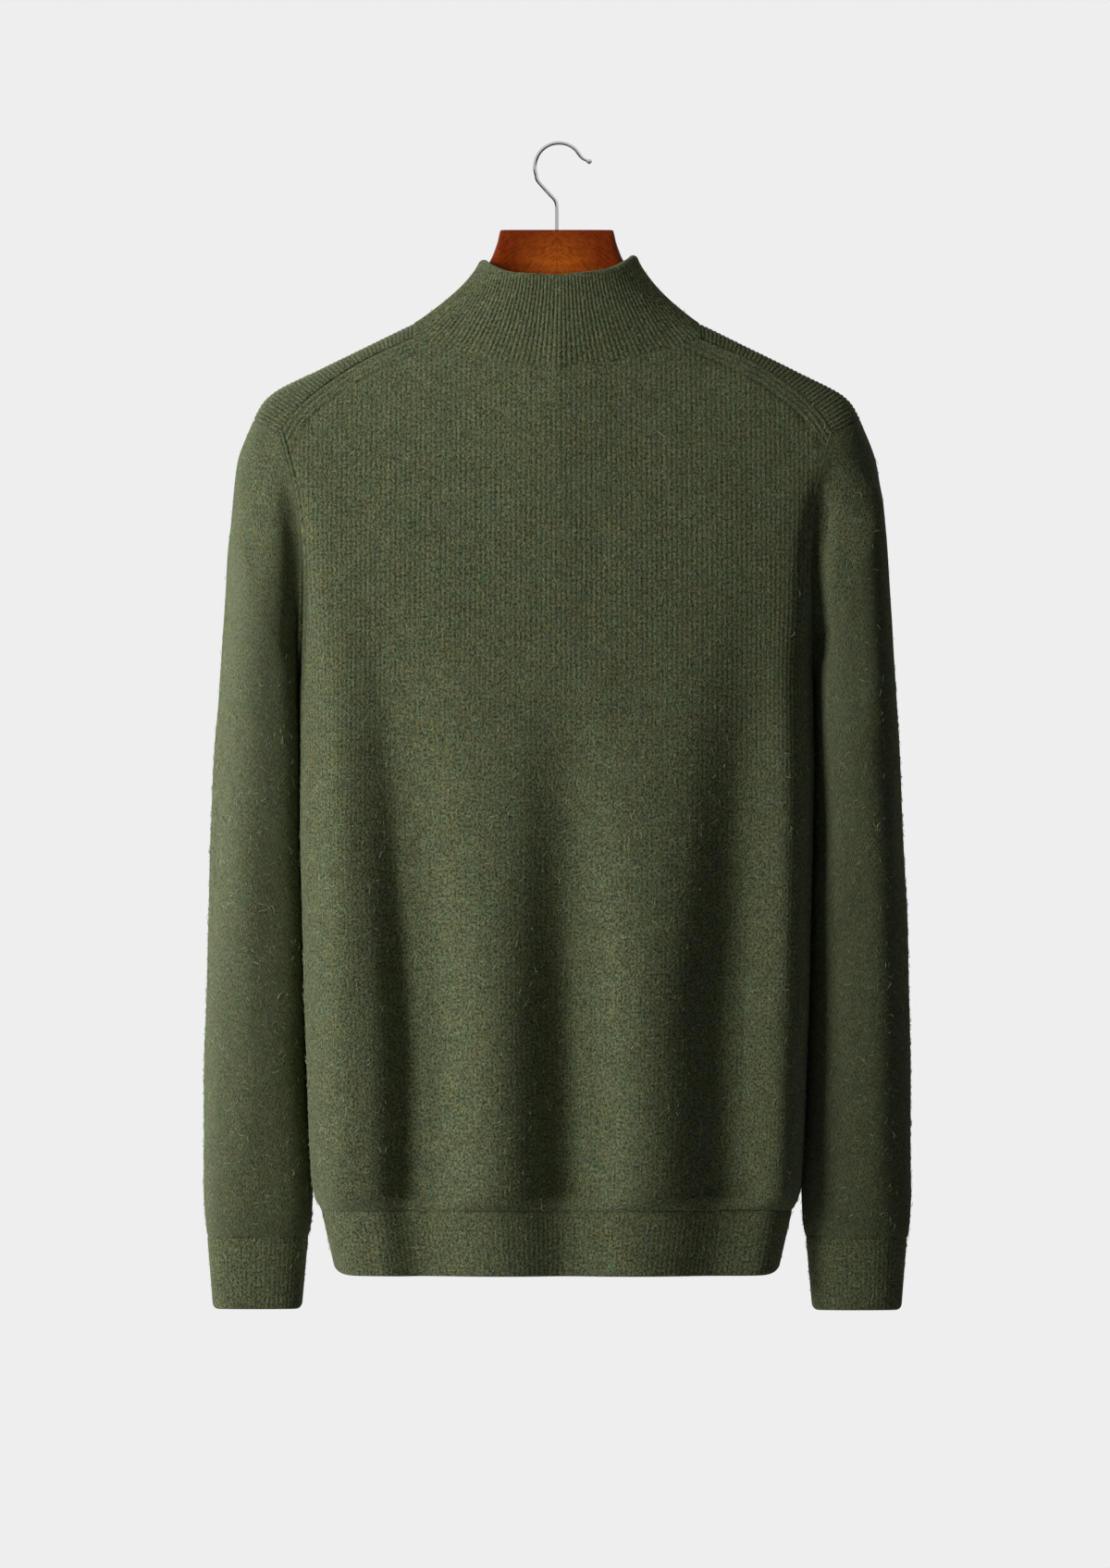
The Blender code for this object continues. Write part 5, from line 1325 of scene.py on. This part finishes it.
def woodMaterial():
    # lacquered wood in two book-matched halves that meet at the middle
    material, tree, shader = newMaterial("lacqueredWood", woodFinish)
    x, y, z = placeParts(tree)
    away = maths(tree, "ABSOLUTE", x)
    slant = maths(tree, "ADD", z, maths(tree, "MULTIPLY", away, 0.75))
    lengthwise = maths(tree, "SUBTRACT", away, maths(tree, "MULTIPLY", z, 0.75))
    grainPlace = newNode(tree, "ShaderNodeCombineXYZ")
    for label, value, scale in (("X", lengthwise, 170.0), ("Y", y, 300.0), ("Z", slant, 480.0)):
        tree.links.new(maths(tree, "MULTIPLY", value, scale), grainPlace.inputs[label])
    grain = addNoise(tree, grainPlace.outputs[0],
                     {"Scale": 1.0, "Detail": 6.0, "Roughness": 0.75, "Distortion": 0.4}).outputs["Fac"]
    streaks = spread(tree, grain, 0.34, 0.66)
    # painted light: a warm glow of light painted into the wood's colour about the middle, below the top edge
    low = maths(tree, "MULTIPLY", maths(tree, "ADD", z, 0.088), 1.1)
    squares = (maths(tree, "MULTIPLY", value, value) for value in (away, low))
    reach = maths(tree, "SQRT", maths(tree, "ADD", *squares))
    middle = spread(tree, reach, 0.002, 0.04, 1.0, 0.0, interpolation_type="SMOOTHSTEP")
    red = mixColours(tree, streaks, woodShades["dark"], woodShades["red"])
    paintedGlowWood = mixColours(tree, streaks, woodShades["red"], woodShades["glow"])
    wood = mixColours(tree, middle, red, paintedGlowWood)
    wood = mixColours(tree, spread(tree, away, 0.0002, 0.0006, 0.2, 0.0), wood, woodShades["joint"])
    tree.links.new(wood, shader.inputs["Base Color"])
    addBump(tree, shader, grain, 0.12, 0.0003)
    return material


def metalMaterial(name, stretch, roughness, dull, bright):
    # fine streaks in the tone and the roughness
    material, tree, shader = newMaterial(name, {"Metallic": 1.0})
    place = newNode(tree, "ShaderNodeMapping", {"Scale": stretch})
    tree.links.new(newNode(tree, "ShaderNodeTexCoord").outputs["Object"], place.inputs["Vector"])
    streaks = addNoise(tree, place.outputs["Vector"], {"Scale": 1.0, "Detail": 3.0}).outputs["Fac"]
    tree.links.new(spread(tree, streaks, 0.0, 1.0, *roughness), shader.inputs["Roughness"])
    tree.links.new(mixColours(tree, streaks, dull, bright), shader.inputs["Base Color"])
    return material


def buildWood():
    stations = np.unique(np.concatenate([np.linspace(0, 0.038, 10), np.linspace(0.038, 0.062, 26),
                                         np.linspace(0.062, 0.196, 40), np.linspace(0.196, 0.201, 8)]))
    stations = np.concatenate([-stations[::-1][:-1], stations])
    sides = 48
    turn = 2 * math.pi * (np.arange(sides) + 0.5) / sides
    cosine, sine = np.cos(turn), np.sin(turn)
    rings = []
    for across in stations:
        top, bottom, half, power = (
            float(smoothCurve(woodSections["across"], woodSections[name], abs(across)))
            for name in ("top", "bottom", "halfThickness", "power"))
        reach = roundedReach(cosine, sine, power)
        rings.append(np.column_stack([np.full(sides, across), half * cosine * reach,
                                      (top + bottom) / 2 + (top - bottom) / 2 * sine * reach]))
    rings = np.array(rings)
    spots = np.arange(rings.shape[0] * sides).reshape(-1, sides)
    faces = gridQuads(np.hstack([spots, spots[:, :1]])).reshape(-1, 4).tolist()
    faces += [spots[0][::-1].tolist(), spots[-1].tolist()]
    return meshPiece("hanger_wood", rings.reshape(-1, 3).tolist(), faces, woodMaterial(), 50)


def buildHook():
    form = hookForm
    centreHeight = form["wireRadius"] - form["radius"] + form["sagitta"]
    route = [(x, z, 1.0) for x, z in (form["foot"], *form["stem"])]
    for degrees in np.linspace(*form["arc"], form["arcPoints"]):
        angle = math.radians(degrees)
        route.append((form["centreAcross"] + form["radius"] * math.cos(angle),
                      centreHeight + form["radius"] * math.sin(angle), 1.0))
    route += list(form["tip"])
    smooth = denseCurve(np.array(route), 4)
    curve = bpy.data.curves.new("hook_wire", "CURVE")
    curve.dimensions = "3D"
    curve.bevel_depth = form["wireRadius"]
    curve.bevel_resolution = 6
    curve.use_fill_caps = True
    spline = curve.splines.new("POLY")
    spline.points.add(len(smooth) - 1)
    for point, (across, height, swell) in zip(spline.points, smooth):
        point.co = (across, 0, height, 1)
        point.radius = swell
    spline.use_smooth = True
    wire = metalMaterial("polishedWire", (900.0, 900.0, 900.0), (0.14, 0.24), (0.7, 0.7, 0.7, 1.0),
                         (0.84, 0.84, 0.84, 1.0))
    return addPiece("hook_wire", curve, wire)


wood = buildWood()
hook = buildHook()
print("hanger built")


zipForm = {"toothPitch": 0.00135, "toothHeight": 0.00085, "headSwell": 1.5, "toothDepth": 0.0018, "toothSink": 0.0002,
           "tapeColumns": 10, "tapeRows": 60, "tapeThickness": 0.0006, "tapeFlat": 0.0035,
           "beadRise": 0.0003, "beadAcross": 0.0018, "beadWidth": 0.0009}


def tapeMaterial():
    material, tree, shader = newMaterial("wovenTape", {"Roughness": 0.85})
    parts = placeParts(tree)
    warp, weft = (maths(tree, "PINGPONG", maths(tree, "MULTIPLY", value, threads), 1.0)
                  for value, threads in ((parts["X"], 2200.0), (parts["Z"], 1800.0)))
    weave = maths(tree, "MULTIPLY", warp, weft)
    colour = mixColours(tree, weave, (0.02, 0.027, 0.013, 1.0), (0.06, 0.078, 0.036, 1.0))
    tree.links.new(colour, shader.inputs["Base Color"])
    addBump(tree, shader, weave, 0.5, 0.0002)
    return material


def nodePoints(name):
    return np.array([vertex.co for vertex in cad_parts[name].data.vertices], float)


def facePath(name):
    # the outer face's line of a strip that runs up the zip, read from its solid, as (y, z) by height
    points = nodePoints(name)
    heights = np.unique(points[:, 2].round(5))
    path = []
    for group in np.split(heights, np.nonzero(np.diff(heights) >= 0.0012)[0] + 1):
        near = points[(points[:, 2] >= group[0] - 1e-5) & (points[:, 2] <= group[-1] + 1e-5)]
        path.append(near[np.argmin(near[:, 1]), 1:])
    path = np.array(path)
    return path[np.argsort(path[:, 1])]


def buildTeeth():
    path = facePath("zip_chain")
    length = lengthsAlong(path)[-1]
    count = int(length / zipForm["toothPitch"])
    places = (np.arange(count) + 0.5) * length / count
    centre = readAlong(path, path, places)
    ahead = unit(readAlong(path, path, places + 0.0005) - readAlong(path, path, places - 0.0005))
    outline = np.array([(-0.0006, -0.42), (0.0002, -0.5), (0.0018, -0.5), (0.0026, -0.32), (0.0026, 0.32),
                        (0.0018, 0.5), (0.0002, 0.5), (-0.0006, 0.42)])
    vertices, faces = [], []
    for spot, ((y, z), (ay, az)) in enumerate(zip(centre, ahead)):
        side = 1 if spot % 2 else -1
        start = len(vertices)
        for depth in (0.0, zipForm["toothDepth"]):
            for x, h in outline:
                h *= zipForm["toothHeight"] * (zipForm["headSwell"] if x > 0.001 else 1.0)
                vertices.append((side * x, y + zipForm["toothSink"] + depth * az + h * ay, z - depth * ay + h * az))
        corners = len(outline)
        ring = list(range(start, start + corners))
        back = [index + corners for index in ring]
        tooth = [ring, back[::-1]]
        for k in range(corners):
            following = (k + 1) % corners
            tooth.append([ring[k], back[k], back[following], ring[following]])
        faces += [face if side < 0 else face[::-1] for face in tooth]
    return meshPiece("zip_teeth", vertices, faces, zipMetal)


def buildTape(side, half):
    # a woven tape beside the teeth, with a bead along its inner edge, on its solid's own place
    name = "zip_tape_" + side
    points = nodePoints(name)
    path = facePath(name)
    places = np.linspace(0.0002, lengthsAlong(path)[-1] - 0.0002, zipForm["tapeRows"])
    reach = np.abs(points[:, 0]).max()
    columns = np.linspace(0.00015, reach, zipForm["tapeColumns"])
    edge = points[np.abs(points[:, 0]) > reach - 0.002]
    share = np.clip((columns - zipForm["tapeFlat"]) / (reach - zipForm["tapeFlat"]), 0, 1)
    bead = zipForm["beadRise"] * bell(columns - zipForm["beadAcross"], zipForm["beadWidth"])
    rows = []
    for y, z in readAlong(path, path, places):
        near = edge[np.abs(edge[:, 2] - z) < 0.014, 1]
        depth = y + (near.min() - y) * share if len(near) else np.full(len(columns), y)
        rows.append(np.column_stack([half * columns, depth - bead, np.full(len(columns), z)]))
    front = np.array(rows)
    behind = front + (0, zipForm["tapeThickness"], 0)
    count = front.shape[0] * front.shape[1]
    spots = np.arange(count).reshape(front.shape[:2])
    quads = gridQuads(spots).reshape(-1, 4)
    faces = quads.tolist() + (quads[:, ::-1] + count).tolist()
    loop = list(spots[0]) + list(spots[1:, -1]) + list(spots[-1, :-1][::-1]) + list(spots[1:-1, 0][::-1])
    for a, b in zip(loop, loop[1:] + loop[:1]):
        faces.append([b, a, a + count, b + count])
    if half < 0:
        faces = [face[::-1] for face in faces]
    both = np.concatenate([front.reshape(-1, 3), behind.reshape(-1, 3)]).tolist()
    return meshPiece(name + "_woven", both, faces, tapeLook, 60)


zipMetal = metalMaterial("satinNickel", (2600.0, 900.0, 160.0), (0.24, 0.42), (0.4464, 0.4392, 0.4176, 1.0),
                         (0.62, 0.61, 0.58, 1.0))
tapeLook = tapeMaterial()
teeth = buildTeeth()
tapes = [buildTape("left", 1), buildTape("right", -1)]
for nodeName in ("zip_stop_bottom", "zip_stop_left", "zip_stop_right", "zip_slider", "zip_pull"):
    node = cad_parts[nodeName]
    node.data.materials.clear()
    node.data.materials.append(zipMetal)
print("zip built")


replaced = (
    (backPanel, "back", "knit"), (frontPanel, "front", "knit"), (sleeveLeft, "sleeve_left sleeve_left_lower", "knit"),
    (sleeveRight, "sleeve_right sleeve_right_lower", "knit"), (collar, "collar", "knit"), (hem, "hem_band", "knit"),
    (cuffLeft, "cuff_left", "knit"), (cuffRight, "cuff_right", "knit"), (wood, "hanger_body", "wood"),
    (hook, "hanger_hook", "hook_wire"), (teeth, "zip_chain", "zip_metal"), (tapes[0], "zip_tape_left", "zip_tape"),
    (tapes[1], "zip_tape_right", "zip_tape"),
)
for piece, nodeName, slotName in replaced:
    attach(piece, "garment")
    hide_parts(*nodeName.split())
for fibres in fuzzPieces.values():
    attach(fibres, "garment")


studio = {
    "background": (0.855, 0.855, 0.855, 1.0),
    "ambient": 0.003,
    "floorHeight": -1.95,
    "cameraDistance": 11.0,
    "aim": (0.0013, 0.0, -0.4629),
    "frameHeight": 1.13565,
    "collarSpread": 30,
    "reflectedSky": 0.68,
    "reflectedGround": 0.02,
}
# name, place, aim, width, height, watts
studioLights = (
    ("keyBehind", (2.02, 1.68, 0.3), (0.0, 0.0, -0.45), 1.0, 1.6, 45.5),
    ("sideBehind", (2.75, 0.58, 0.1), (0.0, 0.0, -0.45), 0.7, 1.6, 24),
    ("keyFront", (1.9, -2.2, 0.35), (0.0, 0.0, -0.45), 1.3, 1.9, 55),
    ("fillBehind", (-1.9, 3.0, 0.2), (0.0, 0.0, -0.45), 1.3, 1.8, 0.4),
    ("topFill", (-0.5, 0.55, 2.1), (-0.06, 0.0, -0.2), 1.0, 1.0, 4.0),
    ("collarFill", (-0.58, 0.46, 0.1), (-0.085, 0.0, -0.115), 0.12, 0.12, 0.015),
    ("fillFront", (-1.6, -3.0, 0.4), (0.0, 0.0, -0.45), 1.6, 1.6, 14),
)


def buildFloor():
    bpy.ops.mesh.primitive_circle_add(vertices=96, radius=40, fill_type="NGON", location=(0, 0, studio["floorHeight"]))
    floor = bpy.context.object
    floor.name = "floor"
    material, tree, shader = newMaterial("paleFloor", {})
    tree.nodes.remove(shader)
    glow = newNode(tree, "ShaderNodeEmission", {"Color": studio["background"], "Strength": 1.0})
    matte = newNode(tree, "ShaderNodeBsdfDiffuse", {"Color": (0.5, 0.5, 0.5, 1.0)})
    seen = mixShaders(tree, "Is Camera Ray", matte.outputs[0], glow.outputs[0])
    tree.links.new(seen, tree.nodes["Material Output"].inputs["Surface"])
    floor.data.materials.append(material)


def buildWorld():
    world = bpy.data.worlds.new("paleStudio")
    bpy.context.scene.world = world
    world.use_nodes = True
    tree = world.node_tree
    shown = tree.nodes["Background"]
    shown.inputs["Color"].default_value = studio["background"]
    lit = newNode(tree, "ShaderNodeBackground", {"Color": (1.0, 1.0, 1.0, 1.0), "Strength": studio["ambient"]})
    # metal and lacquer reflect a pale room that is dark low down
    rise = spread(tree, placeParts(tree, "Generated")["Z"], -0.6, 0.25, studio["reflectedGround"],
                  studio["reflectedSky"], interpolation_type="SMOOTHSTEP")
    mirrored = newNode(tree, "ShaderNodeBackground", {"Color": (1.0, 1.0, 1.0, 1.0)})
    tree.links.new(rise, mirrored.inputs["Strength"])
    unseen = mixShaders(tree, "Is Glossy Ray", lit.outputs[0], mirrored.outputs[0])
    seen = mixShaders(tree, "Is Camera Ray", unseen, shown.outputs[0])
    tree.links.new(seen, tree.nodes["World Output"].inputs["Surface"])


def buildLights():
    for name, place, aim, width, height, watts in studioLights:
        lamp = bpy.data.lights.new(name, "AREA")
        lamp.shape = "RECTANGLE"
        lamp.size, lamp.size_y = width, height
        lamp.energy = watts
        if name == "collarFill":
            lamp.spread = math.radians(studio["collarSpread"])
        light = bpy.data.objects.new(name, lamp)
        light.location = place
        light.rotation_euler = (Vector(aim) - Vector(place)).to_track_quat("-Z", "Y").to_euler()
        light.visible_camera = False
        light.visible_glossy = False
        bpy.context.scene.collection.objects.link(light)


def buildCamera():
    data = bpy.data.cameras.new("camera")
    camera = bpy.data.objects.new("camera", data)
    x, y, z = studio["aim"]
    camera.location = (x, y + studio["cameraDistance"], z)
    camera.rotation_euler = (math.pi / 2, 0, math.pi)
    data.sensor_width = 36
    data.lens = 18 / (studio["frameHeight"] / 2 / studio["cameraDistance"])
    bpy.context.scene.collection.objects.link(camera)
    bpy.context.scene.camera = camera


buildFloor()
buildWorld()
buildLights()
buildCamera()
bpy.context.scene.view_settings.view_transform = "Standard"
print("studio built")
